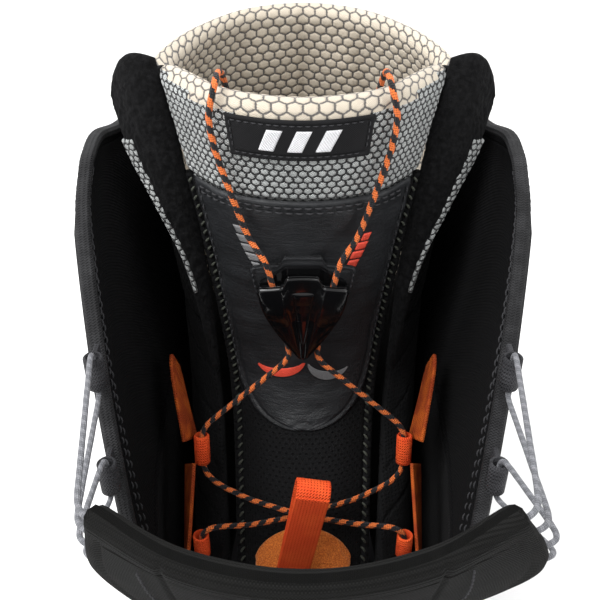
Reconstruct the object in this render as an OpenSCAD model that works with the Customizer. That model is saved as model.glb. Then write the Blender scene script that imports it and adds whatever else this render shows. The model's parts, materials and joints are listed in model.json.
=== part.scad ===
// Snowboard boot, opened up: outer shell, removable liner, speed-laced liner tongue.
// +Z up, toe to -Y, sole on Z = 0, origin under the middle of the sole.

/* [Boot] */
// Length over the sole, toe to heel
boot_l = 304; // [290:1:320]
// Width over the sole at the forefoot
boot_w = 122; // [114:1:130]
// Sideways turn of the toe, positive for a right boot
toe_turn = 5; // [-8:1:8]

/* [Sole] */
// Thickness of the rubber outsole, lugs included
outsole_h = 11; // [9:0.5:12]
// Thickness of the foam midsole
midsole_h = 15; // [12:0.5:16]
// Depth of the tread grooves
tread_d = 4; // [2:0.5:5]

/* [Shell] */
// Thickness of the shell walls
shell_t = 3.4; // [2.5:0.1:3.6]
// Thickness of the moulded rubber and stay parts outside the walls
overlay_t = 2; // [1:0.1:2.2]
// Gap that keeps sewn layers apart
layer_gap = 0.4; // [0.2:0.1:0.5]
// Thickness of the shell tongue's base layer
tongue_shell_t = 2.4; // [1.5:0.1:2.6]
// Extra width of the wing on the right side of the shell tongue
tongue_wing = 10; // [0:1:12]

/* [Liner] */
// Thickness of the liner round the foot
liner_foot_t = 5; // [4:0.5:6]
// Thickness of the padded collar
collar_t = 9; // [6:0.5:10]
// Thickness of the padded liner tongue
tongue_t = 10; // [8:0.5:11]
// Thickness of the plush lapels
lapel_t = 4; // [3:0.5:5]

/* [Laces] */
// Diameter of the braided liner lace
inner_lace_d = 2.1; // [2:0.1:3]
// Diameter of the grey shell lace
shell_lace_d = 1.7; // [1.4:0.1:2.4]
// Width of the webbing of loops and tunnels
webbing_w = 12; // [9:0.5:13]

/* [Lace lock] */
// Width of the lock across its wings
lock_w = 32; // [30:0.5:35]
// Height of the lock from its tip to its top edge
lock_h = 41.5; // [40:0.5:43]
// Thickness of the lock
lock_t = 10; // [9:0.5:11]

/* [Hidden] */
$fn = 48;
sole_top = outsole_h + midsole_h;
black = [0.09, 0.09, 0.09];
dark = [0.16, 0.16, 0.17];
rubber = [0.12, 0.12, 0.13];
silver = [0.55, 0.58, 0.57];
beige = [0.76, 0.72, 0.64];
orange = [0.93, 0.36, 0.14];
amber = [0.80, 0.36, 0.12];
grey = [0.60, 0.60, 0.63];

// Half rows run from the middle line of a surface to its edge; each is mirrored to make the other side.
// Shell wall, from the sole to the top: heel centre, heel corner, side, ankle, fore part, throat edge.
SHELL = [
  [[0, 146, 27], [33, 136, 27], [45, 96, 27], [46, 40, 27], [53, -15, 27], [57.5, -58, 27]],
  [[0, 149, 58], [33, 139, 58], [47, 97, 58], [50, 40, 60], [55, -22, 58], [58.5, -76, 56]],
  [[0, 143, 92], [31, 133, 93], [48, 93, 95], [54, 36, 96], [56, -32, 92], [50, -97, 81]],
  [[0, 135, 120], [31, 125, 121], [50, 86, 123], [57, 30, 124], [57, -38, 120], [45, -98, 106]],
  [[0, 129, 145], [32, 119, 146], [53, 82, 148], [59, 28, 149], [58, -35, 146], [49, -91, 134]],
  [[0, 123, 170], [33, 113, 171], [55, 78, 173], [62, 26, 174], [62, -30, 171], [56, -77, 163]],
  [[0, 118, 196], [34, 108, 197], [58, 75, 199], [66, 26, 200], [67, -22, 199], [62, -60, 196]],
  [[0, 113, 222], [35, 103, 223], [61, 72, 225], [69, 28, 227], [71, -12, 226], [67, -42, 221]],
  [[0, 110, 243], [36, 100, 244], [64, 72, 247], [73, 33, 250], [76, 8, 252], [74, -11, 249]],
  [[0, 107, 260], [37, 98, 261], [64, 73, 260], [71, 48, 258], [75, 26, 263], [75, 8, 262]]];
// Vamp, from the sole to the throat: toe centre, toe corner, side, rear.
VAMP = [
  [[0, -148.6, 27], [34, -138, 27], [53, -100, 27], [52, -56, 27]],
  [[0, -147.6, 48], [33, -136, 50], [52.5, -98, 53], [51.5, -56, 58]],
  [[0, -140, 63], [28, -129, 66], [45, -97, 73], [45, -58, 80]],
  [[0, -126, 74], [21, -118, 76], [34, -94, 84], [38, -62, 94]],
  [[0, -107, 83], [13, -103, 84], [23, -89, 89], [28, -68, 97]],
  [[0, -84, 94], [7, -83, 94], [14, -80, 95], [20, -75, 97]]];
// Liner round foot and leg: heel centre, heel corner, side, ankle, fore part, throat edge.
LINER = [
  [[0, 137, 36], [26, 128, 36], [37, 92, 36], [40, 35, 36], [45, -20, 36], [46, -58, 36]],
  [[0, 140, 62], [27, 130, 62], [40, 92, 63], [44, 35, 64], [47, -25, 63], [45, -60, 60]],
  [[0, 134, 94], [27, 124, 95], [42, 86, 96], [47, 34, 97], [45, -28, 94], [33, -64, 82]],
  [[0, 127, 122], [28, 117, 123], [44, 80, 124], [49, 32, 124], [44, -14, 121], [31, -40, 112]],
  [[0, 120, 150], [29, 110, 151], [46, 75, 152], [50, 40, 152], [45, 14, 150], [34, 2, 146]],
  [[0, 113, 184], [30, 103, 185], [49, 72, 186], [52, 48, 186], [47, 29, 184], [39, 19, 181]],
  [[0, 108, 215], [31, 98, 216], [52, 70, 217], [55, 48, 217], [51, 32, 216], [45, 22, 214]],
  [[0, 101, 246], [31, 92, 246.5], [52, 69, 247], [57, 50, 247], [54.5, 35, 246], [50, 25, 244]],
  [[0, 96, 271], [28, 88, 271], [48, 69, 271], [56, 52, 270.5], [56, 40, 269], [53, 31, 267]],
  [[0, 92, 293], [24, 85, 292.5], [41, 68, 291], [50, 53, 289], [54, 42, 287], [54, 34, 285]]];
// Liner tongue, from its rim down to the toes: centre, shoulder, edge.
TONGUE = [
  [[0, -14, 290], [28, -5, 290], [48, 20, 289]],
  [[0, -9, 256], [24, -3, 256], [40.5, 14, 256]],
  [[0, -4, 222], [21, 1, 222], [34.5, 11.5, 222]],
  [[0, 2, 182], [17, 4, 182], [30, 11, 181]],
  [[0, -3, 162], [15, -1, 161], [28, 5, 157]],
  [[0, -17, 146], [14, -16, 144], [27, -9, 138]],
  [[0, -46, 121], [13, -45, 119], [25, -40, 111]],
  [[0, -76, 88], [11, -75, 87], [20, -71, 81]]];
// Lapel, from its top down: inner edge, crown, outer edge.
LAPEL = [
  [[50, 22, 289], [59, 24, 287], [68, 32, 278]],
  [[43.5, 16, 266], [53, 16, 265], [63, 25, 261]],
  [[39, 13, 246], [46, 11, 245], [53, 15, 243]],
  [[36, 11, 224], [40.3, 9.8, 223.5], [44.5, 9.5, 222]],
  [[34, 8.5, 200], [36.5, 7.2, 199.5], [39, 6, 199]],
  [[32.5, 4, 176], [34, 3.5, 175.5], [35.5, 3, 175]]];
// Shell tongue folded forward, from its hinge to its rim: centre, shoulder, edge.
FRONT = [
  [[0, -75, 103], [11, -73, 102.5], [20, -69, 101]],
  [[0, -87, 130], [17, -84, 129.5], [32, -76, 127]],
  [[0, -103, 166], [24, -99, 165], [48, -89, 161]],
  [[0, -119, 201], [28, -114, 200], [57, -100, 195]],
  [[0, -134, 230.5], [28, -128, 230], [51.5, -111, 227.5]]];
// Half outline of the sole, from the toe to the heel.
SOLE = [[0, -152], [30, -145], [50, -122], [60, -88], [61, -52], [55, -10], [49, 40], [48, 88],
  [42, 124], [25, 146], [0, 152]];
// Webbing sleeves that hold the laces, on the right side.
UPPER_LOOP = [63.5, -53.5, 221];
LOWER_LOOP = [59.5, -71.5, 194.5];
UPPER_TUNNEL = [39, -20, 154];
LOWER_TUNNEL = [38, -47, 131];
// The liner lace inside the boot, from the rim of the tongue down to its handle, right side.
LACE_INSIDE = [[27, -6.5, 293], [26.5, -1, 295.5], [26, 5, 295], [25.5, 10, 290], [23, 13, 276],
  [17, 14.5, 258], [12, 16, 243]];
// The liner lace below the lock, from the tunnel on the right to the middle of the instep.
LACE_BELOW = [[38.4, -17.6, 163], [39, -18, 161], [39, -22, 147], [38, -23.6, 144],
  [33, -27, 142], [20, -33, 140], [0, -38, 137], [-20, -43, 137], [-33, -46, 140],
  [-37.7, -46.8, 138.5], [-38, -47, 136], [-38, -47, 125], [-36, -50, 118], [-25, -57, 112],
  [-12, -61, 110]];
// The same run from the left side, passing in front of the other where they cross.
LACE_ACROSS = [[38.4, -17.6, 163], [39, -18, 161], [39, -22, 147], [38, -23.6, 144],
  [33, -28, 143], [20, -35, 142], [0, -41.8, 141], [-20, -45, 140], [-33, -46.5, 140.5],
  [-37.7, -46.8, 138.5], [-38, -47, 136], [-38, -47, 125], [-36, -50, 118], [-25, -57, 112],
  [-12, -61, 110]];
// Straps of the liner's lacing, on the right side.
STRAP_UP = [[43.6, -18, 157], [46.5, -10, 167], [49.5, 0, 175], [51.5, 11, 180]];
STRAP_DOWN = [[43.6, -23, 149], [43.7, -34, 139], [44, -46, 127], [46, -52, 110], [47.5, -54, 88]];

lock_at = [0, -3.3, 211];
lock_tilt = 98.3;
lock_lift = 2.2;
tab_at = [-4, -53, 122.5];
tab_h = 46;
tab_w = 12;
sleeve_bore = 4.2;
loop_reach = 6.5;
lace_exit_x = 12;
lace_tip_x = 4;

// Sizes the drawn rows to the set length and width, and turns the toe.
function toe_shift(y) = y < -60 ? toe_turn * pow((-60 - y) / 92, 1.5) : 0;
function fit(p) = [p[0] * boot_w / 122 + toe_shift(p[1]), p[1] * boot_l / 304, p[2]];
function widen(p) = [p[0] * boot_w / 122, p[1] * boot_l / 304, p[2]];
function whole_row(r) = concat([for (i = [len(r) - 1:-1:1]) [-r[i][0], r[i][1], r[i][2]]], r);
function whole(rows) = [for (r = rows) whole_row(r)];
function turned(rows) = [for (r = whole(rows)) [for (p = r) fit(p)]];
function straight(rows) = [for (r = whole(rows)) [for (p = r) widen(p)]];
// Widens the middle of the shell tongue's right side into a wing.
function winged(p) = [p[0] + tongue_wing * pow(max(p[0], 0) / 59, 3) * max(0, sin((231 - p[2]) * 2.5)),
  p[1], p[2]];

// A face is its rows and which side of them is outside.
shell_face = [turned(SHELL), -1];
vamp_face = [turned(VAMP), 1];
liner_face = [turned(LINER), -1];
tongue_face = [straight(TONGUE), -1];
front_face = [[for (r = straight(FRONT)) [for (p = r) winged(p)]], 1];
lapel_face = [[for (r = LAPEL) [for (p = r) widen(p)]], -1];

// A smooth curve through listed points, read at a place counted in points.
function bend(a, b, c, d, t) =
  0.5 * (2 * b + (c - a) * t + (2 * a - 5 * b + 4 * c - d) * t * t
    + (3 * b - a - 3 * c + d) * t * t * t);
function read(p, x) =
  let (n = len(p) - 1, i = max(min(floor(x), n - 1), 0))
  bend(i > 0 ? p[i - 1] : 2 * p[0] - p[1], p[i], p[i + 1],
    i + 2 <= n ? p[i + 2] : 2 * p[n] - p[n - 1], x - i);
// A point of a face: u counts rows, v runs from -1 at the left edge to 1 at the right edge.
function place(face, u, v) =
  let (rows = face[0], n = len(rows) - 1, i = max(min(floor(u), n - 1), 0),
    x = (v + 1) / 2 * (len(rows[0]) - 1), b = read(rows[i], x), c = read(rows[i + 1], x))
  bend(i > 0 ? read(rows[i - 1], x) : 2 * b - c, b, c,
    i + 2 <= n ? read(rows[i + 2], x) : 2 * c - b, u - i);
function unit(v) = v / norm(v);
function outward(face, u, v) =
  face[1] * unit(cross(place(face, u, v + 0.01) - place(face, u, v - 0.01),
    place(face, u + 0.02, v) - place(face, u - 0.02, v)));
function off(face, u, v, d) = place(face, u, v) + outward(face, u, v) * d;
function steps(a, b, n) = [for (i = [0:n]) a + (b - a) * i / n];
function block(us, vs) = [for (u = us) [for (v = vs) [u, v]]];

// A closed sheet between two distances outside a face, over a grid of [u, v] places.
module sheet(face, grid, inner, outer) {
  n = len(grid);
  m = len(grid[0]);
  raw = [for (line = grid) for (q = line) [place(face, q[0], q[1]), outward(face, q[0], q[1])]];
  ends = face[1] > 0 ? [outer, inner] : [inner, outer];
  points = [for (d = ends) for (r = raw) r[0] + r[1] * d];
  s = n * m;
  over = [for (i = [0:n - 2], j = [0:m - 2]) let (k = i * m + j)
    each [[k, k + m, k + m + 1], [k, k + m + 1, k + 1]]];
  under = [for (f = over) [f[0] + s, f[2] + s, f[1] + s]];
  rim = concat([for (j = [0:m - 1]) j], [for (i = [1:n - 1]) i * m + m - 1],
    [for (j = [m - 2:-1:0]) (n - 1) * m + j], [for (i = [n - 2:-1:1]) i * m]);
  wall = [for (i = [0:len(rim) - 1]) let (a = rim[i], b = rim[(i + 1) % len(rim)])
    each [[a, b, b + s], [a, b + s, a + s]]];
  polyhedron(points, concat(over, under, wall), convexity = 8);
}

// A tube swept along points, its rings kept from twisting.
module tube(path, d, sides = 8) {
  n = len(path);
  ways = [for (i = [0:n - 1]) unit(path[min(i + 1, n - 1)] - path[max(i - 1, 0)])];
  first = unit(cross(ways[0], abs(ways[0][2]) < 0.8 ? [0, 0, 1] : [1, 0, 0]));
  arms = [for (i = 0, a = first; i < n;
    i = i + 1, a = i < n ? unit(a - ways[i] * (a * ways[i])) : a) a];
  points = [for (i = [0:n - 1]) let (a = arms[i], b = cross(ways[i], a))
    for (k = [0:sides - 1]) path[i] + (a * cos(360 * k / sides) + b * sin(360 * k / sides)) * d / 2];
  sides_f = [for (i = [0:n - 2], k = [0:sides - 1])
    let (p = i * sides + k, q = i * sides + (k + 1) % sides)
    each [[p, p + sides, q + sides], [p, q + sides, q]]];
  polyhedron(points, concat([[for (k = [0:sides - 1]) k]], sides_f,
    [[for (k = [sides - 1:-1:0]) (n - 1) * sides + k]]), convexity = 8);
}

// A flat ribbon along points; each side arrow lies across the ribbon.
module ribbon(path, across, w, t) {
  n = len(path);
  points = [for (i = [0:n - 1])
    let (way = unit(path[min(i + 1, n - 1)] - path[max(i - 1, 0)]),
      s = unit(across[i] - way * (across[i] * way)), up = cross(way, s))
    each [path[i] - s * w / 2 - up * t / 2, path[i] + s * w / 2 - up * t / 2,
      path[i] + s * w / 2 + up * t / 2, path[i] - s * w / 2 + up * t / 2]];
  sides_f = [for (i = [0:n - 2], k = [0:3]) let (p = i * 4 + k, q = i * 4 + (k + 1) % 4)
    each [[p, q + 4, q], [p, p + 4, q + 4]]];
  polyhedron(points, concat([[0, 1, 2, 3]], sides_f,
    [[n * 4 - 1, n * 4 - 2, n * 4 - 3, n * 4 - 4]]), convexity = 8);
}

// Points of a smooth curve through a list, a given number to each listed span.
function smooth(p, k) = [for (i = [0:(len(p) - 1) * k]) read(p, i / k)];
function sole_outline() =
  let (half = smooth([for (p = SOLE) [p[0], p[1], 0]], 3),
    ring = concat(half, [for (i = [len(half) - 2:-1:1]) [-half[i][0], half[i][1], 0]]))
  [for (p = ring) let (q = fit(p)) [q[0], q[1]]];

module plate(inset, z, t) {
  translate([0, 0, z]) linear_extrude(t) offset(delta = -inset) polygon(sole_outline());
}

module outsole() {
  color(rubber) difference() {
    linear_extrude(outsole_h) polygon(sole_outline());
    for (y = [-132:16:132]) translate([0, y * boot_l / 304, 0]) for (s = [-1, 1])
      rotate([0, 0, s * 14]) translate([s * 38, 0, 0])
        cube([64, 3.5, tread_d * 2], center = true);
    translate([0, 8, 0]) cube([7, 250, tread_d * 2], center = true);
  }
}
module midsole() { color(dark) plate(2.5, outsole_h, midsole_h); }
module lasting_board() { color(beige) plate(14, sole_top + 0.5, 2.5); }
module liner_sole() { color(black) plate(14, sole_top + 4, 4); }
module footbed() { color(grey) plate(21.5, sole_top + 8.5, 4); }

module vamp() {
  color(black) sheet(vamp_face, block(steps(0, 5, 11), steps(-1, 1, 22)), -shell_t, 0);
}
module toe_bumper() {
  color(rubber)
    sheet(vamp_face, block(steps(0, 1.3, 4), steps(-0.72, 0.72, 20)), layer_gap,
      layer_gap + overlay_t);
}
module shell_lower() {
  color(black)
    sheet(shell_face, block(steps(0, 3.98, 10), steps(-1, 1, 34)), -shell_t, 0);
}
module heel_counter() {
  color(rubber)
    sheet(shell_face, block(steps(0, 2.2, 5), steps(-0.46, 0.46, 16)), layer_gap,
      layer_gap + overlay_t);
}
module cuff(side) {
  color(dark)
    sheet(shell_face, block(steps(4.02, 9, 12),
      side < 0 ? steps(-1, -0.01, 17) : steps(0.01, 1, 17)), -shell_t, 0);
}
module backstay() {
  color(rubber)
    sheet(shell_face, block(steps(2.3, 8.9, 11), steps(-0.1, 0.1, 3)), layer_gap,
      layer_gap + overlay_t);
}
module eyestay(side) {
  vs = side < 0 ? steps(-0.995, -0.87, 2) : steps(0.87, 0.995, 2);
  color(rubber)
    sheet(shell_face, block(steps(2.3, 7.9, 12), vs), layer_gap, layer_gap + overlay_t * 0.7);
}
module ankle_wing(side) {
  vs = side < 0 ? steps(-0.8, -0.48, 6) : steps(0.48, 0.8, 6);
  color(rubber)
    sheet(shell_face, [for (u = steps(1.2, 4.6, 7)) [for (v = vs)
      [u, v + side * 0.05 * sin((u - 1.2) * 90)]]], layer_gap + 0.3, layer_gap + overlay_t);
}
// Lays a piece on a face: X points outward, Z up along the face.
module on_face(face, u, v, d) {
  at = off(face, u, v, d);
  out = outward(face, u, v);
  up = unit(place(face, u + 0.02, v) - place(face, u - 0.02, v));
  across = cross(up, out);
  multmatrix([[out[0], across[0], up[0], at[0]], [out[1], across[1], up[1], at[1]],
    [out[2], across[2], up[2], at[2]]]) children();
}
module heel_loop() {
  color(black) on_face(shell_face, 7.3, 0, layer_gap * 2 + overlay_t + 6.6) difference() {
    cube([12, 18, 46], center = true);
    cube([8.8, 19, 38], center = true);
  }
}

// Webbing loop at a cuff's edge: a sleeve round the lace and a tail that reaches back to the cuff.
module lace_loop(at, side) {
  color(grey) translate([side * at[0], at[1], at[2] - webbing_w / 2]) difference() {
    union() {
      cylinder(h = webbing_w, d = 6.2);
      translate([-0.9, 2, 0]) cube([1.8, loop_reach - 2, webbing_w]);
    }
    translate([0, 0, -1]) cylinder(h = webbing_w + 2, d = sleeve_bore);
  }
}

// Handle parked in a moulded dock on the outside of the cuff.
module dock(side) {
  color(rubber) on_face(shell_face, 6.2, side * 0.52, layer_gap + 4.2) difference() {
    translate([-4, -13, -22]) cube([9, 26, 40]);
    translate([-1.5, -10, -18]) cube([4, 20, 50]);
    translate([0, -6, 2]) cube([10, 12, 30]);
  }
}
module handle(side) {
  color(orange) on_face(shell_face, 6.2, side * 0.52, layer_gap + 4.2) {
    translate([-0.9, -9, -17]) cube([2.8, 18, 36]);
    translate([5.5, 0, 26]) rotate([90, 0, 0]) cylinder(h = 34, d = 9, center = true);
    translate([-0.9, -5, 18]) cube([6, 10, 5]);
  }
}

module shell_tongue_body() {
  color(black)
    sheet(front_face, block(steps(0, 4, 10), steps(-1, 1, 14)), -tongue_shell_t, 0);
}
module shell_tongue_cover() {
  color(dark)
    sheet(front_face, block(steps(1.4, 3.96, 8), steps(-0.9, 0.9, 12)), 4, 5.4);
}

// The liner, in pieces that are sewn edge to edge.
module liner_toe() {
  color(black)
    sheet(vamp_face, block(steps(0.45, 3.9, 8), steps(-0.88, 0.88, 18)),
      -shell_t - 2.4 - liner_foot_t, -shell_t - 2.4);
}
module liner_boot() {
  color(black)
    sheet(liner_face, block(steps(0, 4.98, 13), steps(-1, 1, 28)), -liner_foot_t, 0);
}
module liner_collar() {
  color(beige)
    sheet(liner_face, block(steps(5.02, 9, 9), steps(-1, 1, 28)), -collar_t, 0);
}
module liner_loop() {
  top = off(liner_face, 8.7, 0, layer_gap);
  color(black) translate([0, top[1] + 2.4, top[2] - 9]) rotate([11, 0, 0])
    translate([-8, -0.8, -14]) cube([16, 1.6, 26]);
}
module lapel(side) {
  color(dark) mirror([side < 0 ? 1 : 0, 0, 0])
    sheet(lapel_face, block(steps(0, 5, 10), steps(-1, 1, 6)), -lapel_t, 0);
}

module tongue_upper() {
  color(silver)
    sheet(tongue_face, block(steps(0, 4.35, 11), steps(-1, 1, 14)), -tongue_t, 0);
}
module tongue_base() {
  color(dark)
    sheet(tongue_face, block(steps(4.5, 7, 6), steps(-1, 1, 12)), 1.5 - tongue_t, 0);
}
module tongue_panel() {
  color(black)
    sheet(tongue_face, [for (u = steps(0.98, 4.4, 9)) [for (v = steps(-1, 1, 10))
      [u, v * (u > 3.4 ? 0.92 - 0.25 * (u - 3.4) : 0.92)]]], 0.4, 1.3);
}
module label_patch() {
  color(black)
    sheet(tongue_face, block(steps(0.1, 0.56, 3), steps(-0.45, 0.41, 8)), 0.3, 1.3);
}

// Everything on the lace lock is drawn flat, tip down, then laid on the tongue.
module on_lock() {
  translate(lock_at) rotate([lock_tilt, 0, 0]) translate([0, 0, lock_lift]) children();
}
module lock_shape(grow = 0) {
  offset(r = 3 + grow) polygon([[-lock_w / 2 + 3, lock_h / 2 - 9], [-5, lock_h / 2 - 3],
    [5, lock_h / 2 - 3], [lock_w / 2 - 3, lock_h / 2 - 9], [1.5, -lock_h / 2 + 3],
    [-1.5, -lock_h / 2 + 3]]);
}
module lock_dock() {
  color(dark) on_lock() translate([0, -1, -1.4]) linear_extrude(1.1) lock_shape(2);
}
module lock_base() {
  color(black) on_lock() linear_extrude(1.6) lock_shape(-0.6);
}
module lace_bore(s, d) {
  top = [s * lace_exit_x, 24, 5];
  tip = [s * lace_tip_x, -24, 5];
  way = tip - top;
  translate(top) rotate([0, acos(way[2] / norm(way)), atan2(way[1], way[0])])
    cylinder(h = norm(way), d = d);
}
module lock_housing() {
  color(black) on_lock() difference() {
    translate([0, 0, 1.8]) linear_extrude(lock_t - 1.8) lock_shape();
    for (s = [-1, 1]) lace_bore(s, inner_lace_d + 0.8);
    translate([0, 0, 3.2]) linear_extrude(lock_t)
      polygon([[-5.4, 30], [5.4, 30], [4.4, -4], [0.9, -12], [-0.9, -12], [-4.4, -4]]);
  }
}
module lock_wedge() {
  color(dark) on_lock() translate([0, 0, 3.5]) linear_extrude(lock_t - 4)
    polygon([[-4.6, 17], [4.6, 17], [3.8, 1], [1.5, -3], [-1.5, -3], [-3.8, 1]]);
}
module lock_spring() {
  turns = 4;
  color(grey) on_lock()
    tube([for (a = [0:36:360 * turns]) [1.1 * cos(a), -8.6 + a / 360 / turns * 5, 6 + 1.1 * sin(a)]],
      0.5, 6);
}

function lock_to_world(p) =
  let (c = cos(lock_tilt), s = sin(lock_tilt), z = p[2] + lock_lift)
  [p[0], lock_at[1] + p[1] * c - z * s, lock_at[2] + p[1] * s + z * c];
function flip(p) = [-p[0], p[1], p[2]];
function flipped(list) = [for (p = list) flip(p)];
function back(list) = [for (i = [len(list) - 1:-1:0]) list[i]];

// The liner lace, from its handle over the rim, down through the lock, and round the instep.
lace_on_tongue = [for (q = [[0.15, 0.51], [0.5, 0.5], [0.95, 0.42], [1.4, 0.35]])
  off(tongue_face, q[0], q[1], 3)];
lace_half = concat(back(LACE_INSIDE), lace_on_tongue,
  [for (f = [-0.04, 0, 1, 1.04]) lock_to_world([lace_exit_x, 24, 5] * (1 - f)
    + [lace_tip_x, -24, 5] * f)]);
module inner_lace() {
  run = concat(lace_half, LACE_BELOW, flipped(back(LACE_ACROSS)), flipped(back(lace_half)));
  color(orange) tube(smooth(run, 2), inner_lace_d);
}
module inner_handle() {
  color(dark) difference() {
    union() {
      translate([0, 18, 232]) rotate([0, 90, 0]) cylinder(h = 44, d = 9, center = true);
      translate([-15, 16, 232]) cube([30, 4, 9]);
    }
    for (s = [-1, 1]) translate([s * 12, 16.4, 225]) cylinder(h = 20, d = inner_lace_d + 0.8);
  }
}

// The shell laces run inside the tongue cover, out at its edges and through the cuff loops.
function shell_run(u_out, u_in, loop) =
  let (bent = [0, 0.2, 0.4, 0.6, 0.8, 0.9, 1, 1.07],
    right = concat([for (v = bent) off(front_face, u_out, v, 2)],
      [for (z = [9, 6, -6, -9]) loop + [0, 0, z]], [for (v = back(bent)) off(front_face, u_in, v, 2)]),
    left = concat([for (v = bent) off(front_face, u_out, -v, 2)],
      [for (z = [9, 6, -6, -9]) flip(loop) + [0, 0, z]], [for (v = back(bent)) off(front_face, u_in, -v, 2)]))
  concat([for (i = [len(left) - 2:-1:1]) left[i]], [for (i = [0:len(right) - 2]) right[i]]);
module shell_lace_upper() { color(grey) tube(shell_run(3.86, 3.6, UPPER_LOOP), shell_lace_d); }
module shell_lace_lower() { color(grey) tube(shell_run(3.3, 3.0, LOWER_LOOP), shell_lace_d); }
module ferrule(u) {
  at = off(front_face, u, 0, 2.1);
  color(dark) translate(at) rotate([0, 90, 0])
    cylinder(h = 5, d = shell_lace_d + 0.2, center = true);
}

// Sleeve of folded webbing for the liner lace.
module tunnel(at, side, h, lean) {
  color(orange) translate([side * at[0], at[1], at[2]]) rotate([lean, 0, 0]) difference() {
    cylinder(h = h, d = 6, center = true);
    cylinder(h = h + 2, d = sleeve_bore, center = true);
  }
}
module strap(side) {
  color(amber) mirror([side < 0 ? 1 : 0, 0, 0]) {
    ribbon(smooth(STRAP_UP, 2), [for (i = [0:6]) [0.4 - 0.06 * i, -0.7, 0.6]], webbing_w, 1.5);
    ribbon(smooth(STRAP_DOWN, 2), [for (i = [0:8]) [0.4 - 0.05 * i, 0.75, -0.6 + 0.04 * i]], webbing_w, 1.5);
  }
}
module tab_patch() {
  color(orange)
    sheet(tongue_face, block(steps(5.98, 6.3, 3), steps(-0.66, 0.66, 8)), 0.4, 2.4);
}
module pull_tab() {
  color(orange) translate(tab_at) rotate([-4, 10, 0]) rotate([90, 0, 90])
    linear_extrude(tab_w, center = true) difference() {
      hull() {
        translate([0, 1.6]) circle(d = 3.2);
        translate([0, tab_h - 4.5]) circle(d = 9);
      }
      hull() {
        translate([0, 12]) circle(d = 1.2);
        translate([0, tab_h - 4.5]) circle(d = 6.2);
      }
    }
}

outsole();
midsole();
lasting_board();
vamp();
toe_bumper();
shell_lower();
heel_counter();
cuff(-1);  // cuff_left
cuff(1);  // cuff_right
backstay();
eyestay(-1);  // eyestay_left
eyestay(1);  // eyestay_right
ankle_wing(-1);  // ankle_wing_left
ankle_wing(1);  // ankle_wing_right
heel_loop();
lace_loop(UPPER_LOOP, -1);  // lace_loop_left_upper
lace_loop(LOWER_LOOP, -1);  // lace_loop_left_lower
lace_loop(UPPER_LOOP, 1);  // lace_loop_right_upper
lace_loop(LOWER_LOOP, 1);  // lace_loop_right_lower
dock(-1);  // dock_left
dock(1);  // dock_right
handle(-1);  // handle_left
handle(1);  // handle_right
shell_tongue_body();
shell_tongue_cover();
shell_lace_upper();
shell_lace_lower();
ferrule(3.6);  // ferrule_upper
ferrule(3.0);  // ferrule_lower
liner_sole();
footbed();
liner_toe();
liner_boot();
liner_collar();
liner_loop();
lapel(-1);  // lapel_left
lapel(1);  // lapel_right
strap(-1);  // strap_left
strap(1);  // strap_right
tunnel(UPPER_TUNNEL, -1, 12, -16);  // tunnel_left_upper
tunnel(LOWER_TUNNEL, -1, 11, 0);  // tunnel_left_lower
tunnel(UPPER_TUNNEL, 1, 12, -16);  // tunnel_right_upper
tunnel(LOWER_TUNNEL, 1, 11, 0);  // tunnel_right_lower
tongue_base();
tongue_upper();
tongue_panel();
label_patch();
lock_dock();
lock_base();
lock_housing();
lock_wedge();
lock_spring();
inner_lace();
inner_handle();
tab_patch();
pull_tab();
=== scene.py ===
"""Snowboard boot, opened up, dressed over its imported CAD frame. Lengths are in millimetres."""
import json
import math

import bpy
import numpy as np
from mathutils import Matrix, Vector


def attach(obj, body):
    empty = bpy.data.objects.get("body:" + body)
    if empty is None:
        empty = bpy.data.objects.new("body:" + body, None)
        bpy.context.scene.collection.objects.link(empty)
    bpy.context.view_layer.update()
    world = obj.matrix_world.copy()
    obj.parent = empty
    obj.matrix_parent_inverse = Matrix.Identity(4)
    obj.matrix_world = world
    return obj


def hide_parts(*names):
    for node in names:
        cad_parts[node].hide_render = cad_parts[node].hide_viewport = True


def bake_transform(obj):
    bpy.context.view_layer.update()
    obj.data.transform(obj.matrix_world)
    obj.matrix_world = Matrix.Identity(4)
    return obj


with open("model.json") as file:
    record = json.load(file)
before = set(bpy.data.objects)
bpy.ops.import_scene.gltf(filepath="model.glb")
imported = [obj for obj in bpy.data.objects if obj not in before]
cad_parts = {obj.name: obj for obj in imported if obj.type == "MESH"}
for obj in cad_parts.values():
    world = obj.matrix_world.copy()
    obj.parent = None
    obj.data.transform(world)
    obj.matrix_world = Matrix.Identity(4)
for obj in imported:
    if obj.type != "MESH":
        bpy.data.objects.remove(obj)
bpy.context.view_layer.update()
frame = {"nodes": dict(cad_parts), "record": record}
MM = 0.001
MIRROR = np.array([-1, 1, 1])
SIDES = (("left", -1), ("right", 1))

# ---------------------------------------------------------------- camera
VIEW_DOWN = 35.2
camera_data = bpy.data.cameras.new("camera")
camera_data.lens = 49.2
camera_data.sensor_width = 36
camera_data.shift_x = -0.005
camera_data.clip_start = 0.01
camera = bpy.data.objects.new("camera", camera_data)
bpy.context.scene.collection.objects.link(camera)
camera.location = (0, -0.2458, 0.3836)
camera.rotation_euler = (math.radians(90 - VIEW_DOWN), 0, 0)
bpy.context.scene.camera = camera

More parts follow.
